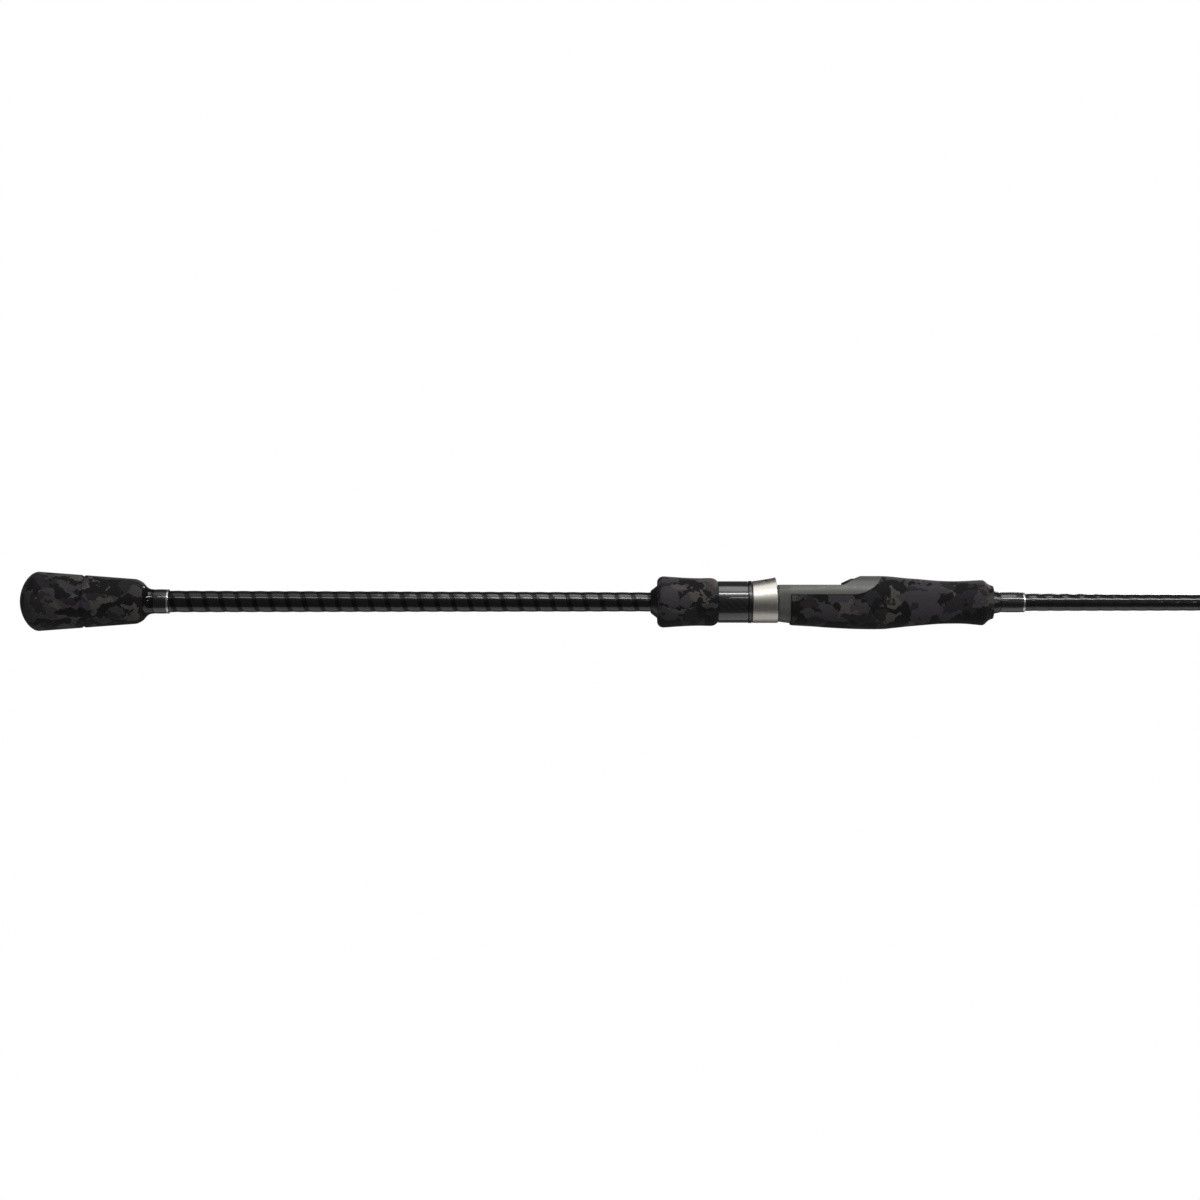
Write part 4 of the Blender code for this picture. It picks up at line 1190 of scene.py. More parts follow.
@dataclass
class MovableHood(Assembly):
    """The brushed steel hood with its two pin holes, and the keyed liner inside it.

    Attributes:
        wall: wall of the steel.
        ease: rounding of its edges.
        rise: how far its roof climbs to its mouth.
        climb: power of that climb.
        lean: backward slope of its mouth.
        hole_radius: radius of a pin hole.
        hole_turn: angle of a pin hole from the top.
        hole_place: distance of the holes behind the mouth.
        liner_bore: inner radius of the liner.
        liner_slot: half width of the liner's slot over the bed.
        slot_floor: height of the slot's floor.
        key_half: half width of the liner's key.
    """

    body: Body = Body.HOOD
    wall: float = 0.75 * MM
    ease: float = 0.3 * MM
    rise: float = 2.05 * MM
    climb: float = 1.16
    lean: float = 0.045
    hole_radius: float = 1.2 * MM
    hole_turn: float = radians(20)
    hole_place: float = 6.6 * MM
    liner_bore: float = 9.715 * MM
    liner_slot: float = 6.2 * MM
    slot_floor: float = -1.4 * MM
    key_half: float = 1.5 * MM

    def build(self) -> None:
        """Makes the hood and its liner."""
        rear, front = span("hood_ring")
        radius = half_width("hood_ring")
        front -= self.lean * radius
        bore = radius - self.wall
        corners = [(rear, bore), (rear, radius), (front, radius), (front, bore)]
        form = turned(divided(eased(corners, self.ease, steps=5), 0.8 * MM), 144)
        for vert in form.verts:
            up = vert.co.z - AXIS_Z
            share = min(1.0, max(0.0, (vert.co.x - rear) / (front - rear)))
            if up > 0:
                vert.co.z = AXIS_Z + up * (1 + self.rise * share**self.climb / radius)
            vert.co.x -= self.lean * (vert.co.z - AXIS_Z) * share**3
        # Each drill reaches from inside the bore to well outside the steel.
        for side in (-1, 1):
            drill = bmesh.new()
            away = Vector((0.0, side * sin(self.hole_turn), cos(self.hole_turn)))
            middle = Vector((front - self.hole_place, 0.0, AXIS_Z)) + away * 2 * radius
            bmesh.ops.create_cone(
                drill,
                cap_ends=True,
                segments=32,
                radius1=self.hole_radius,
                radius2=self.hole_radius,
                depth=2.6 * radius,
                matrix=facing(middle, away),
            )
            form = combined(form, drill)
        self.place(form, "brushed_hood", STEEL, "hood_ring")

        rear, front = span("hood_liner")
        liner = ring(rear, front, self.liner_bore, half_width("hood_liner"))
        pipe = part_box("hood_liner")[0].z
        low = (rear + MM / 2, -self.key_half, pipe + GAP)
        high = (front - MM / 2, self.key_half, AXIS_Z - self.liner_bore + MM)
        liner = combined(liner, block(low, high), "UNION")
        low = (rear - MM, -self.liner_slot, self.slot_floor)
        liner = combined(liner, block(low, (front + MM, self.liner_slot, 20 * MM)))
        self.place(liner, "keyed_liner", BLACK_NYLON, "hood_liner")


@dataclass
class ReelSeat(Assembly):
    """The seat body: collar, bed, fixed hood and threaded pipe, with the hood's cushion.

    Attributes:
        pipe_radius: outer radius of the threaded pipe.
        pipe_bore: its inner radius.
        thread_depth: height of the thread.
        thread_pitch: its pitch.
        thread_start: its turn at the bed's middle.
        plain_x: where the thread ends and the plain pipe starts.
        rear_x: rear face of the collar.
        collar_x: front of the collar.
        rear_radius: radius of the collar's rear face, at the sides and below.
        rear_top: height of the rear face's top over the centre line.
        swell: how much wider the collar's front is.
        side: half width of the fixed hood.
        roof: height of the fixed hood over the centre line.
        roof_x: where the fixed hood's roof is level.
        shoulder: height of the bed's shoulders over the centre line.
        mouth_foot_x: lower end of the fixed hood's slanting mouth.
        mouth_top_x: its upper end.
        bed_rear_x: rear end of the bed's flat.
        pocket_end_x: front end of the channel under the fixed hood.
        pocket_half: half width of the channel.
        pocket_roof: height of the channel's roof over the centre line.
        pocket_corner: the channel's upper corners.
        flat_drop: the threaded stretch's flat, below the bed.
        key_half: half width of the keyway.
        power: squareness of the body's section.
        front_x: where the widest section is, under the fore grip.
        front_side: half width there.
        thread_lead: plain pipe behind the thread.
        thread_steps: points in one turn of the thread.
        cushion_wall: thickness of the cushion.
        cushion_drop: how far the cushion stays behind the slanting mouth.
    """

    pipe_radius: float = 8.715 * MM
    pipe_bore: float = 6.615 * MM
    thread_depth: float = 0.7 * MM
    thread_pitch: float = 3.0 * MM
    thread_start: float = radians(7)
    plain_x: float = -36.7 * MM
    rear_x: float = -18.3 * MM
    collar_x: float = -12.2 * MM
    rear_radius: float = 10.615 * MM
    rear_top: float = 11.365 * MM
    swell: float = 0.8 * MM
    side: float = 12.315 * MM
    roof: float = 14.115 * MM
    roof_x: float = 12.2 * MM
    shoulder: float = 9.355 * MM
    mouth_foot_x: float = 16.2 * MM
    mouth_top_x: float = 26.1 * MM
    bed_rear_x: float = -30.7 * MM
    pocket_end_x: float = 32.0 * MM
    pocket_half: float = 6.5 * MM
    pocket_roof: float = 13.015 * MM
    pocket_corner: float = 2.4 * MM
    flat_drop: float = 0.4 * MM
    key_half: float = 1.8 * MM
    power: float = 2.5
    front_x: float = 40.0 * MM
    front_side: float = 12.715 * MM
    thread_lead: float = 1.2 * MM
    thread_steps: int = 32
    cushion_wall: float = 0.6 * MM
    cushion_drop: float = 0.8 * MM

    @property
    def slope(self) -> float:
        """Rise of the fixed hood's slanting mouth over its length."""
        return (self.roof - self.shoulder) / (self.mouth_top_x - self.mouth_foot_x)

    def section(self, x: float, turn: float) -> tuple[float, float]:
        """Section of the body before its bed is cut.

        Args:
            x: the place along the rod.
            turn: the angle from the top.

        Returns:
            The place across and up.
        """
        places = (self.rear_x, self.collar_x, self.roof_x, self.front_x)
        tops = (self.rear_top, (self.rear_top + self.roof) / 2, self.roof, self.roof)
        lows = (self.rear_radius, *(self.rear_radius + self.swell,) * 3)
        sides = (self.rear_radius, self.rear_radius + self.swell, self.side, self.front_side)
        number = sum(x > place for place in places[1:-1])
        share = (x - places[number]) / (places[number + 1] - places[number])
        top, low, side = (
            row[number] + share * (row[number + 1] - row[number]) for row in (tops, lows, sides)
        )
        up = (top if cos(turn) > 0 else low) * squared(cos(turn), self.power)
        return side * squared(sin(turn), self.power), up

    def pocket(self, inset: float, floor: float) -> list[tuple[float, float]]:
        """The channel's outline, smaller all round by inset.

        Args:
            inset: how much smaller.
            floor: height of its lower end over the centre line.

        Returns:
            Points across and up, from one foot over the roof to the other.
        """
        side = self.pocket_half - inset
        top = self.pocket_roof - inset
        corners = [(-side, floor), (-side, top), (side, top), (side, floor)]
        return list(eased(corners, self.pocket_corner - inset, closed=False, steps=8))

    def build(self) -> None:
        """Makes the seat body and the cushion, and dresses the arbors."""
        rear, front = span("reel_seat_body")
        outline = [(self.rear_x, 0.0), (self.rear_x, 1.0), (front, 1.0), (front, 0.0)]
        steps = divided(outline[1:3], 1.0 * MM, closed=False)
        form = reshaped(turned([outline[0], *steps, outline[3]], 144), self.section)
        # The cutters end clear of the body, on each side of it.
        beside, below, ahead, behind = 20 * MM, -30 * MM, 60 * MM, self.rear_x - 9 * MM
        across = Matrix.Translation((0.0, beside, AXIS_Z)) @ Matrix.Rotation(pi / 2, 4, "X")
        way = Vector((0.0, -2 * beside, 0.0))
        seam = [(x, z + GAP) for x, z in SEAM.line()]
        room = [(self.collar_x, below), (self.collar_x, seam[0][1]), *seam]
        room += [(ahead, seam[-1][1]), (ahead, below)]
        form = combined(form, prism(room, way, across))
        over = 5 * MM
        top = self.roof + over
        mouth = [(behind, self.shoulder), (self.mouth_foot_x, self.shoulder)]
        mouth += [(self.mouth_top_x + over / self.slope, top), (behind, top)]
        form = combined(form, prism(mouth, way, across))
        crest = self.pipe_radius + self.thread_depth
        plain = self.pipe_radius
        pipe = [(rear, 0.0), (rear, plain - 0.3 * MM), (rear + 0.3 * MM, plain)]
        pipe += [(self.plain_x, plain), (self.plain_x, crest)]
        pipe += [(self.collar_x - MM, crest), (self.collar_x - MM, plain)]
        pipe += [(front, plain), (front, 0.0)]
        form = combined(form, turned(pipe), "UNION")
        form = combined(form, self.thread(rear + self.thread_lead), "UNION")
        upright = Matrix(((0, 0, 1, 0), (1, 0, 0, 0), (0, 1, 0, 0), (0, 0, 0, 1)))
        place = Matrix.Translation((self.bed_rear_x, 0.0, AXIS_Z)) @ upright
        way = Vector((self.pocket_end_x - self.bed_rear_x, 0.0, 0.0))
        form = combined(form, prism(self.pocket(0.0, -AXIS_Z), way, place))
        low = (rear - MM, -crest, -self.flat_drop)
        form = combined(form, block(low, (self.bed_rear_x, crest, 5 * MM)))
        low = (rear - MM, -self.key_half, AXIS_Z - crest - MM)
        high = (self.rear_x - GAP, self.key_half, AXIS_Z - self.pipe_radius + GAP)
        form = combined(form, block(low, high))
        bore = [(rear - MM, 0.0), (rear - MM, self.pipe_bore), (front + MM, self.pipe_bore)]
        form = combined(form, turned([*bore, (front + MM, 0.0)], 72))
        self.place(form, "moulded_seat", NYLON, "reel_seat_body")
        self.build_cushion()
        dress("rear_arbor", ARBOR)
        dress("front_arbor", ARBOR)

    def thread(self, rear: float) -> Form:
        """The thread's ridge, from its rear end to the plain pipe.

        Args:
            rear: x of its rear end.

        Returns:
            The closed form.
        """
        step_x = self.thread_pitch / self.thread_steps
        path = []
        for step in range(round(rear / step_x), round(self.plain_x / step_x) + 1):
            turn = self.thread_start + tau * step / self.thread_steps
            side, up = -self.pipe_radius * sin(turn), self.pipe_radius * cos(turn)
            path.append(Vector((step_x * step, side, AXIS_Z + up)))
        return swept(path, self.thread_depth, 10)

    def build_cushion(self) -> None:
        """Makes the soft lining of the fixed hood's mouth."""
        start, end = span("hood_cushion")
        low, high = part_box("hood_cushion")
        form = bmesh.new()
        inset = self.pocket_half - half_width("hood_cushion")
        outline = self.pocket(inset, low.z - AXIS_Z)
        points = [form.verts.new((start, y, AXIS_Z + z)) for y, z in outline]
        edges = [form.edges.new(pair) for pair in pairwise(points)]
        for _ in range(24):
            edges, _ = drawn_on(form, edges, Vector(((end - start) / 24, 0.0, 0.0)))
        normal = Vector((-self.slope, 0.0, 1.0)).normalized()
        foot = Vector((self.mouth_foot_x, 0.0, AXIS_Z + self.shoulder))
        bmesh.ops.bisect_plane(
            form,
            geom=form.verts[:] + form.edges[:] + form.faces[:],
            plane_co=foot + normal * self.cushion_drop,
            plane_no=normal,
            clear_outer=True,
        )
        bmesh.ops.recalc_face_normals(form, faces=form.faces)
        bmesh.ops.solidify(form, geom=form.faces[:], thickness=self.cushion_wall)
        self.place(form, "rubber_cushion", BLACK_NYLON, "hood_cushion")


@dataclass(frozen=True)
class Seam:
    """The line where the seat body meets the fore grip, seen from the side.

    Attributes:
        height: its level stretch over the centre line.
        bend: radius of the curve that climbs from it.
        end_x: where the curve reaches the roof.
        roof: height of the fixed hood over the centre line.
    """

    height: float = 3.9 * MM
    bend: float = 18.0 * MM
    end_x: float = 37.3 * MM
    roof: float = 14.115 * MM

    @property
    def start_x(self) -> float:
        """Where the curve leaves the level stretch."""
        return self.end_x - sqrt(self.bend**2 - (self.bend - self.roof + self.height) ** 2)

    def height_at(self, x: float) -> float:
        """Height of the seam at x, over the centre line."""
        along = max(0.0, x - self.start_x)
        return self.height + self.bend - sqrt(max(0.0, self.bend**2 - along**2))

    def line(self) -> list[tuple[float, float]]:
        """Points of the curve, from its start to a little over the roof."""
        xs = [self.start_x + step / 40 * (self.end_x + MM - self.start_x) for step in range(41)]
        return [(x, self.height_at(x)) for x in xs]


SEAM = Seam()


@dataclass
class ForeGrip(Assembly):
    """The foam grip that wraps the seat from below and runs ahead of it, with its check and wrap.

    Attributes:
        blank: the blank under it.
        core: radius of the pipe that the foam starts from, with its clearance.
        form: share of the grip's length, then in millimetres the height of its top over the
            centre line, and the foam below and beside the core.
        wall: foam of the shell.
        power: squareness of its section.
        along: points along the grip.
        face_steps: how many of them are on its front face.
        around: points round it.
        check_gap: clearance between the check and the blank.
        check_drop: how much lower the check's front is.
        check_ease: rounding of its edges.
    """

    blank: Blank
    core: float = 9.015 * MM
    form: tuple[tuple[float, float, float, float], ...] = (
        (0.0, 14.1, 3.25, 3.0),
        (0.012, 14.1, 3.6, 3.3),
        (0.11, 14.1, 4.2, 3.6),
        (0.2, 14.1, 4.9, 3.9),
        (0.33, 14.1, 5.55, 4.1),
        (0.45, 14.1, 5.6, 4.2),
        (0.51, 13.7, 5.0, 3.9),
        (0.57, 13.0, 4.3, 3.5),
        (0.64, 12.45, 3.6, 3.2),
        (0.73, 11.6, 2.8, 2.7),
        (0.81, 11.35, 2.55, 2.5),
        (0.87, 11.55, 2.7, 2.6),
        (0.944, 11.95, 3.4, 3.1),
        (0.957, 11.6, 3.1, 2.8),
        (0.973, 10.2, 1.5, 1.3),
        (0.988, 9.3, 0.4, 0.25),
        (1.0, 8.9, 0.0, 0.0),
    )
    wall: float = 2.4 * MM
    power: float = 2.5
    along: int = 210
    face_steps: int = 6
    around: int = 112
    check_gap: float = 0.1 * MM
    check_drop: float = 0.8 * MM
    check_ease: float = 0.2 * MM

    def stations(self) -> list[tuple[float, float, float, float, float]]:
        """The grip's sections: x, heights over and below, half width and squareness."""
        rear, front = span("fore_grip")
        rows = [smooth_line([(row[0], row[n]) for row in self.form], 12) for n in (1, 2, 3)]
        made = []
        steps = self.along - self.face_steps
        for step in range(steps + 1):
            share = step / steps
            top, below, beside = (value_at(line, share) * MM for line in rows)
            x = rear + share * (front - rear)
            made.append((x, top, self.core + below, self.core + beside, self.power))
        bore = self.blank.radius_at(front) + GAP
        last = made[-1]
        for step in range(1, self.face_steps + 1):
            share = step / self.face_steps
            sizes = [size + share * (bore - size) for size in last[1:4]]
            made.append((front, *sizes, self.power + share * (2 - self.power)))
        return made

    def build(self) -> None:
        """Makes the grip, its check, its wrap and its band."""
        form = bmesh.new()
        bmesh.ops.create_grid(form, x_segments=self.along, y_segments=self.around, size=1.0)
        stations = self.stations()
        for vert in form.verts:
            x, top, below, side, power = stations[round((vert.co.x + 1) / 2 * self.along)]
            share = (vert.co.y + 1) / 2
            rest = min(1.0, SEAM.height_at(x) / top)
            edge = acos(rest ** (power / 2)) if x < SEAM.end_x else 0.0
            turn = edge + share * (tau - 2 * edge)
            up = (top if cos(turn) > 0 else below) * squared(cos(turn), power)
            vert.co = (x, side * squared(sin(turn), power), AXIS_Z + up)
        bmesh.ops.remove_doubles(form, verts=form.verts, dist=SAME)
        bmesh.ops.recalc_face_normals(form, faces=form.faces)
        bmesh.ops.solidify(form, geom=form.faces[:], thickness=self.wall)
        self.place(form, "eva_fore_grip", CAMO, "fore_grip")

        start, end = span("front_winding_check")
        low = self.blank.radius_at(start) + self.check_gap
        high = half_width("front_winding_check")
        corners = [(start, low), (start, high), (end, high - self.check_drop), (end, low)]
        check = turned(eased(corners, self.check_ease))
        self.place(check, "anodised_front_check", ALUMINIUM, "front_winding_check")
        build_wrap(self, self.blank, "front_wrap", "front_trim_band")


def value_at(line: Outline, place: float) -> float:
    """Reads a line of (place, value) points, straight between them.

    Args:
        line: the points, in order.
        place: where to read it.

    Returns:
        The value there.
    """
    for (start, low), (end, high) in pairwise(line):
        if place <= end:
            return low + (high - low) * (place - start) / (end - start)
    return line[-1][1]


@dataclass(frozen=True)
class Hoop:
    """A guide's ceramic ring and the hoop of its frame that holds it.

    Attributes:
        middle: the ring's middle.
        size: the ring's outer diameter.
        tilt: how far its top leans to the tip.
        ring_half: half of the ring's thickness.
        half: half of the hoop's thickness.
        wall: wall of the hoop.
    """

    middle: Vector
    size: float
    tilt: float = radians(14)
    ring_half: float = 1.0 * MM
    half: float = 0.75 * MM
    wall: float = 0.8 * MM

    @classmethod
    def of(cls, node: str) -> "Hoop":
        """The hoop that the frame's ring of this name needs."""
        low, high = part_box(node)
        return cls((low + high) / 2, high.y - low.y)

    def leaned(self, form: Form) -> Form:
        """Leans a turned form, made about x 0, and moves it to the hoop's place.

        Args:
            form: the turned form.

        Returns:
            The same form.
        """
        axis = Vector((0.0, 0.0, AXIS_Z))
        turn = Matrix.Rotation(self.tilt, 3, "Y")
        bmesh.ops.rotate(form, verts=form.verts, cent=axis, matrix=turn)
        bmesh.ops.translate(form, verts=form.verts, vec=self.middle - axis)
        return form

    def ring(self) -> Form:
        """The ceramic ring, thick at its waist and rounded to its bore."""
        rim, half, ease = self.size / 2, self.ring_half, 0.15 * MM
        wall = rim * (0.256 if self.size > 20 * MM else 0.3125)
        turns = [pi * step / 20 for step in range(21)]
        outline = [(half * cos(t), rim - wall + 0.55 * wall * (1 - sin(t))) for t in turns]
        outline += [(-half, rim - ease), (-half + ease, rim)]
        outline += [(half - ease, rim), (half, rim - ease)]
        return self.leaned(turned(outline))

    def holder(self) -> Form:
        """The frame's hoop round the ring."""
        inner, outer = self.size / 2 + THREAD_GAP, self.size / 2 + GAP + self.wall
        return self.leaned(ring(-self.half, self.half, inner, outer, 0.3 * MM))

    def leg_root(self, wire: float, turn: float, side: int) -> Vector:
        """Finds where a leg leaves the hoop.

        Args:
            wire: the leg's radius.
            turn: angle from the hoop's top.
            side: 1 or -1, the side that it turns to.

        Returns:
            The place, on the leg's centre line.
        """
        radius = self.size / 2 + GAP + 0.85 * wire
        up = radius * cos(turn)
        away = (up * sin(self.tilt), side * radius * sin(turn), up * cos(self.tilt))
        return self.middle + Vector(away)


@dataclass
class Guide(Assembly):
    """A line guide: a lapped ring in a black-chromed wire frame, bound to the blank by its feet.

    Attributes:
        blank: the blank under it.
        number: its place from the butt.
        wire: radius of its wire.
        foot_length: length of a foot.
        two_feet: whether it has a rear foot too.
        knee_ahead: how far its legs' knees lie ahead, as a share of the ring's height.
        knee_height: the knees' height over the centre line, likewise.
        front_reach: how far ahead the front foot starts, likewise.
        rear_reach: how far behind the rear foot starts, likewise.
        foot_thick: thickness of a foot at its root.
        foot_thin: thickness at its end.
        foot_narrow: width at its end, as a share of the width at its root.
        lift: how far its legs come in over the blank, as a share of the wire.
        hump: share of a wrap that stands high over the foot.
        wrap_edge: how much lower a wrap is at both ends.
    """

    blank: Blank
    number: int
    wire: float
    foot_length: float
    two_feet: bool = False
    knee_ahead: float = 0.22
    knee_height: float = 0.42
    front_reach: float = 0.35
    rear_reach: float = 0.45
    foot_thick: float = 0.8 * MM
    foot_thin: float = 0.3 * MM
    foot_narrow: float = 0.55
    lift: float = 1.4
    hump: float = 0.62
    wrap_edge: float = 0.15 * MM

    def build(self) -> None:
        """Makes the ring, the frame and the wraps."""
        name = f"guide_{self.number}"
        hoop = Hoop.of(f"{name}_ring")
        self.place(hoop.ring(), f"lapped_{name}_ring", RING, f"{name}_ring")
        form = hoop.holder()
        middle = hoop.middle
        height = middle.z - AXIS_Z
        under = self.blank.radius_at(middle.x - height) + GAP
        landing = AXIS_Z + under + self.lift * self.wire
        beside = self.wire / 2 + 0.47 * MM
        front_x = middle.x + self.front_reach * height
        for side in (-1, 1):
            root = hoop.leg_root(0.6 * self.wire, radians(108), side)
            leave = hoop.leg_root(self.wire, radians(125), side)
            knee = Vector((middle.x + self.knee_ahead * height, (leave.y + side * beside) / 2, 0.0))
            knee.z = AXIS_Z + self.knee_height * height
            toe = Vector((front_x, side * beside, landing))
            form = combined(form, self.leg([root, leave, knee, toe], 1, 0.3), "UNION", own=True)
        form = combined(form, self.foot(front_x, 1), "UNION")
        if self.two_feet:
            leave = hoop.leg_root(self.wire, pi, 1)
            rear_x = middle.x - self.rear_reach * height
            toe = Vector((rear_x, 0.0, landing))
            bow = (leave + toe) / 2 + Vector((0.4, 0.0, 0.9)) * self.wire
            form = combined(form, self.leg([leave, bow, toe], -1), "UNION", own=True)
            form = combined(form, self.foot(rear_x, -1), "UNION")
        self.place(form, f"chromed_{name}_frame", CHROME, f"{name}_frame")
        wraps = {"front_wrap": 1, "rear_wrap": -1} if self.two_feet else {"wrap": 1}
        for wrap, ahead in wraps.items():
            node = f"{name}_{wrap}"
            self.place(self.wrap(node, ahead), f"epoxied_{node}", WRAP, node)

    def leg(self, places: Sequence[Vector], ahead: int, start: float = 1.0) -> Form:
        """A leg of the frame, which thins out as it dips into its foot.

        Args:
            places: what its centre line passes through, down to where it lands.
            ahead: 1 for a leg that runs on towards the tip, -1 for one towards the butt.
            start: share of its radius that it starts with.

        Returns:
            The closed form.
        """
        end = places[-1] + Vector((4 * ahead, 0.0, -1.0)) * self.wire
        return swept(smooth_line([*places, end]), self.wire, start=start, finish=0.45)

    def foot(self, start: float, ahead: int) -> Form:
        """A foot, which thins out to its end.

        Args:
            start: x of its root.
            ahead: 1 for a foot towards the tip, -1 for one towards the butt.

        Returns:
            The closed form.
        """
        end = start + ahead * self.foot_length
        low_x, high_x = sorted((start, end))
        base = AXIS_Z + self.blank.radius_at(low_x) + GAP / 2
        half = self.wire / 2 + 0.7 * MM
        form = block((low_x, -half, base), (high_x, half, base + self.foot_thick))
        for vert in form.verts:
            if abs(vert.co.x - end) < self.foot_length / 2:
                vert.co.y *= self.foot_narrow
                vert.co.z = min(vert.co.z, base + self.foot_thin)
        bmesh.ops.bevel(
            form,
            geom=form.edges[:],
            offset=0.18 * MM,
            segments=3,
            profile=0.5,
            affect="EDGES",
            clamp_overlap=True,
            material=-1,
        )
        return form

    def wrap(self, node: str, ahead: int) -> Form:
        """The thread and epoxy over a foot: full at its root, and tapered off past its end.

        Args:
            node: the wrap's node.
            ahead: 1 for a foot towards the tip, -1 for one towards the butt.

        Returns:
            The closed form.
        """
        rear, front = span(node)
        low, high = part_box(node)
        full, crown = AXIS_Z - low.z, high.z - AXIS_Z
        bore = self.blank.radius_at(rear) + THREAD_GAP

        def height(share: float) -> float:
            """Radius of the round part, which is a little lower at both ends."""
            return full - self.wrap_edge * (1 - min(1.0, 5 * min(share, 1 - share)) ** 0.5)

        outline = [(front, bore), (rear, bore), *profile(rear, front, height, 32)]
        form = turned(outline, 56)
        for vert, radius, turn in around(form):
            if radius < bore + 0.02 * MM or cos(turn) < 0:
                continue
            share = (vert.co.x - rear) / (front - rear)
            past = max(0.0, (share if ahead > 0 else 1 - share) - self.hump) / (1 - self.hump)
            over = max(0.0, cos(past * pi / 2)) ** 1.4
            vert.co.z += (crown - full) * over * cos(turn) ** 3
        return form


@dataclass
class TipTop(Assembly):
    """The ring at the rod's tip, on a tube over the blank's end, and the wrap behind it.

    Attributes:
        blank: the blank under it.
        wire: radius of its two legs.
        wall: wall of its tube.
        wrap_edge: how much lower the wrap is at both ends.
    """

    blank: Blank
    wire: float = 0.45 * MM
    wall: float = 0.45 * MM
    wrap_edge: float = 0.2 * MM

    def build(self) -> None:
        """Makes the ring, the frame and the wrap."""
        hoop = Hoop.of("tip_top_ring")
        self.place(hoop.ring(), "lapped_tip_ring", RING, "tip_top_ring")
        rear = span("tip_top_frame")[0]
        end = span("blank")[1]
        bore = self.blank.radius_at(rear) + GAP / 2
        outer = bore + GAP / 2 + self.wall
        tube = [(end + GAP, 0.0), (end + GAP, bore), (rear, bore)]
        tube += smooth_line([(rear, bore + 0.2 * MM), (rear + 0.2 * MM, outer)], 2)
        tube += [(end + MM, outer), (end + 1.4 * MM, outer - 0.4 * MM), (end + 1.5 * MM, 0.0)]
        form = combined(hoop.holder(), turned(tube, 48), "UNION")
        for side in (-1, 1):
            leave = hoop.leg_root(self.wire, radians(95), side)
            foot = Vector((rear + 3.0 * MM, side * (outer - 0.1 * MM), AXIS_Z + 0.4 * MM))
            bow = (leave + foot) / 2 + Vector((0.0, side * 0.5 * MM, -0.3 * MM))
            leg = swept(smooth_line([leave, bow, foot]), self.wire)
            form = combined(form, leg, "UNION", own=True)
        self.place(form, "chromed_tip_frame", CHROME, "tip_top_frame")
        rear, front = span("tip_wrap")
        bore = self.blank.radius_at(rear) + THREAD_GAP
        edge = half_width("tip_wrap") - self.wrap_edge

        def height(share: float) -> float:
            """Radius of the wrap, which is lower at both ends."""
            return edge + self.wrap_edge * min(1.0, 4 * share, 8 * (1 - share)) ** 0.5

        outline = [(front, bore), (rear, bore), *profile(rear, front, height, 16)]
        self.place(turned(outline, 48), "epoxied_tip_wrap", WRAP, "tip_wrap")


# ---------------------------------------------------------------- the studio


@dataclass(frozen=True)
class Strip:
    """A long soft light beside the rod.

    Attributes:
        name: the light's name.
        start_x: its rear end along the rod.
        end_x: its front end.
        rise: its angle over the rod, from the viewer's side round over the top, in degrees.
        width: its width.
        radiance: its brightness.
        distance: its distance from the rod.
    """

    name: str
    start_x: float
    end_x: float
    rise: float
    width: float
    radiance: float
    distance: float = 1.5

    def build(self) -> None:
        """Makes the light, facing the rod."""
        data = bpy.data.lights.new(self.name, "AREA")
        data.shape = "RECTANGLE"
        data.size = self.end_x - self.start_x
        data.size_y = self.width
        data.energy = self.radiance * data.size * data.size_y * pi
        light = linked(self.name, data)
        light.visible_camera = False
        turn = radians(self.rise)
        away = Vector((0.0, -cos(turn), sin(turn)))
        middle = Vector(((self.start_x + self.end_x) / 2, 0.0, AXIS_Z))
        light.location = middle + away * self.distance
        light.rotation_euler = (pi / 2 - turn, 0.0, 0.0)


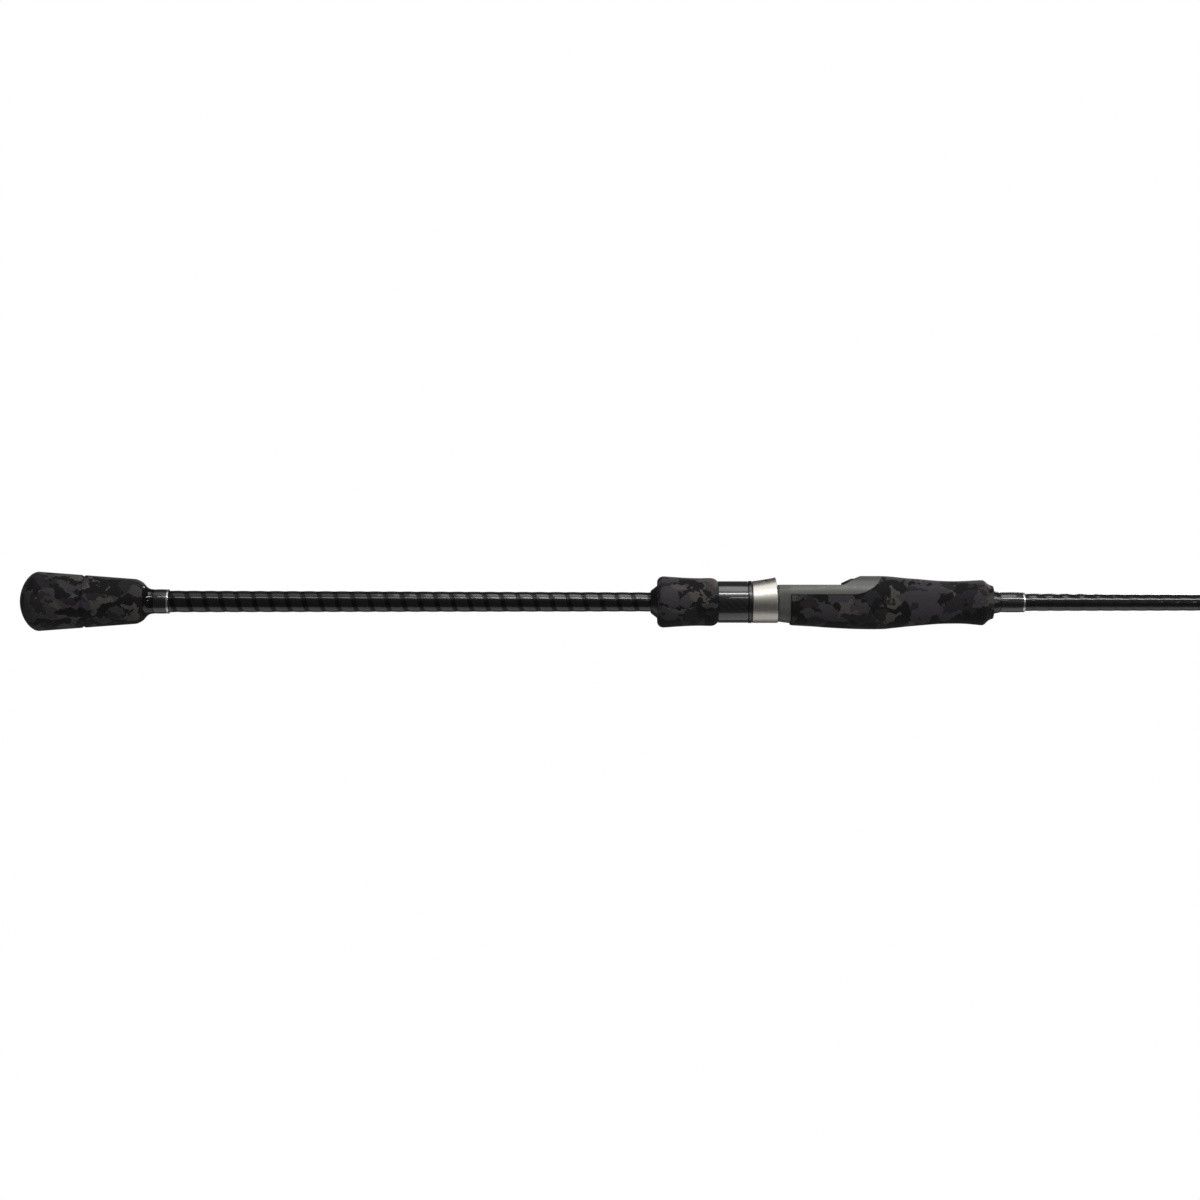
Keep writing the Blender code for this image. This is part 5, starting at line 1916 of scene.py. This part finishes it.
@dataclass(frozen=True)
class Studio:
    """A pale floor, a pale backdrop, soft strip lights and the camera.

    Attributes:
        distance: the camera's distance from the rod.
        view_width: width of the view at the rod.
        middle_x: x at the view's middle.
        middle_z: z at the view's middle.
        roll: the camera's small roll.
        floor_drop: the floor's depth below the bed.
        floor_middle: x and y of its middle.
        floor_half: half of its length and of its width.
        floor_glow: light that the floor gives off, so that gloss over it stays pale.
        dim: the world's light on the object, against the white behind it.
        lights: the soft lights.
    """

    distance: float = 1.4
    view_width: float = 0.648
    middle_x: float = -0.1145
    middle_z: float = -0.0069
    roll: float = radians(-0.055)
    floor_drop: float = 1.3
    floor_middle: tuple[float, float] = (0.5, 0.05)
    floor_half: tuple[float, float] = (3.0, 0.65)
    floor_glow: float = 0.35
    dim: float = 0.08
    lights: tuple[Strip, ...] = (
        Strip("key_strip", -0.22, 1.6, 47.0, 0.15, 18.0),
        Strip("key_rear", -0.65, -0.22, 46.0, 0.22, 4.0),
        Strip("second_strip", -0.02, 0.3, 24.5, 0.06, 8.0),
        Strip("low_lamp", 0.6, 0.95, 7.0, 0.07, 16.0),
        Strip("back_strip", 0.42, 2.2, 152.0, 0.5, 6.0),
        Strip("overhead", -0.3, 0.38, 78.0, 0.9, 2.4),
        Strip("overhead_rear", -1.1, -0.3, 78.0, 0.9, 0.6),
    )

    def build(self) -> None:
        """Makes the studio."""
        self.build_camera()
        self.build_floor()
        self.build_world()
        for light in self.lights:
            light.build()
        bpy.context.scene.view_settings.view_transform = "Standard"

    def build_camera(self) -> None:
        """Makes the camera, level and square to the rod."""
        data = bpy.data.cameras.new("camera")
        data.lens = data.sensor_width * self.distance / self.view_width
        camera = linked("camera", data)
        camera.location = (self.middle_x, -self.distance, self.middle_z)
        camera.rotation_euler = (pi / 2, self.roll, 0.0)
        bpy.context.scene.camera = camera

    def build_floor(self) -> None:
        """Makes the floor, which lies under the rod and ends short of the camera's view."""
        form = bmesh.new()
        place = Matrix.Translation((*self.floor_middle, -self.floor_drop))
        place @= Matrix.Diagonal((*self.floor_half, 1.0, 1.0))
        bmesh.ops.create_grid(form, x_segments=1, y_segments=1, size=1.0, matrix=place)
        mesh = as_mesh(form, "floor")
        paper = bpy.data.materials.new("paper_white_sweep")
        paper.use_nodes = True
        tree = paper.node_tree
        shader = tree.nodes["Principled BSDF"]
        shader.inputs["Base Color"].default_value = linear("#e4e4e4")
        shader.inputs["Roughness"].default_value = 0.9
        lighting = add_node(tree, "LightPath").outputs["Is Diffuse Ray"]
        inputs = {"Value": lighting, "To Min": self.floor_glow, "To Max": 0.0}
        glow = add_node(tree, "MapRange", inputs).outputs[0]
        shader.inputs["Emission Color"].default_value = (1.0, 1.0, 1.0, 1.0)
        tree.links.new(glow, shader.inputs["Emission Strength"])
        mesh.materials.append(paper)
        linked("floor", mesh)

    def build_world(self) -> None:
        """Makes a world that is white behind the object and dim in what it lights."""
        world = bpy.data.worlds.new("studio")
        world.use_nodes = True
        tree = world.node_tree
        seen = add_node(tree, "LightPath").outputs["Is Camera Ray"]
        strength = add_node(tree, "MapRange", {"Value": seen, "To Min": self.dim}).outputs[0]
        back = tree.nodes["Background"]
        back.inputs["Color"].default_value = (1.0, 1.0, 1.0, 1.0)
        tree.links.new(strength, back.inputs["Strength"])
        bpy.context.scene.world = world


def main() -> None:
    """Builds the rod's sub-assemblies in order, then the studio."""
    logging.basicConfig(level=logging.INFO, format="%(message)s")
    blank = Blank()
    guides = [
        Guide(blank, 1, 1.0 * MM, 15 * MM, two_feet=True),
        Guide(blank, 2, 0.85 * MM, 12 * MM, two_feet=True),
        Guide(blank, 3, 0.7 * MM, 11 * MM),
        Guide(blank, 4, 0.6 * MM, 10 * MM),
        *(Guide(blank, number, 0.5 * MM, 9 * MM) for number in (5, 6, 7, 8)),
    ]
    handle = [ButtGrip(blank), LockNut(), MovableHood(), ReelSeat(), ForeGrip(blank)]
    for assembly in [blank, *handle, *guides, TipTop(blank)]:
        LOG.info("%s", type(assembly).__name__)
        assembly.build()
    Studio().build()


if __name__ == "__main__":
    main()
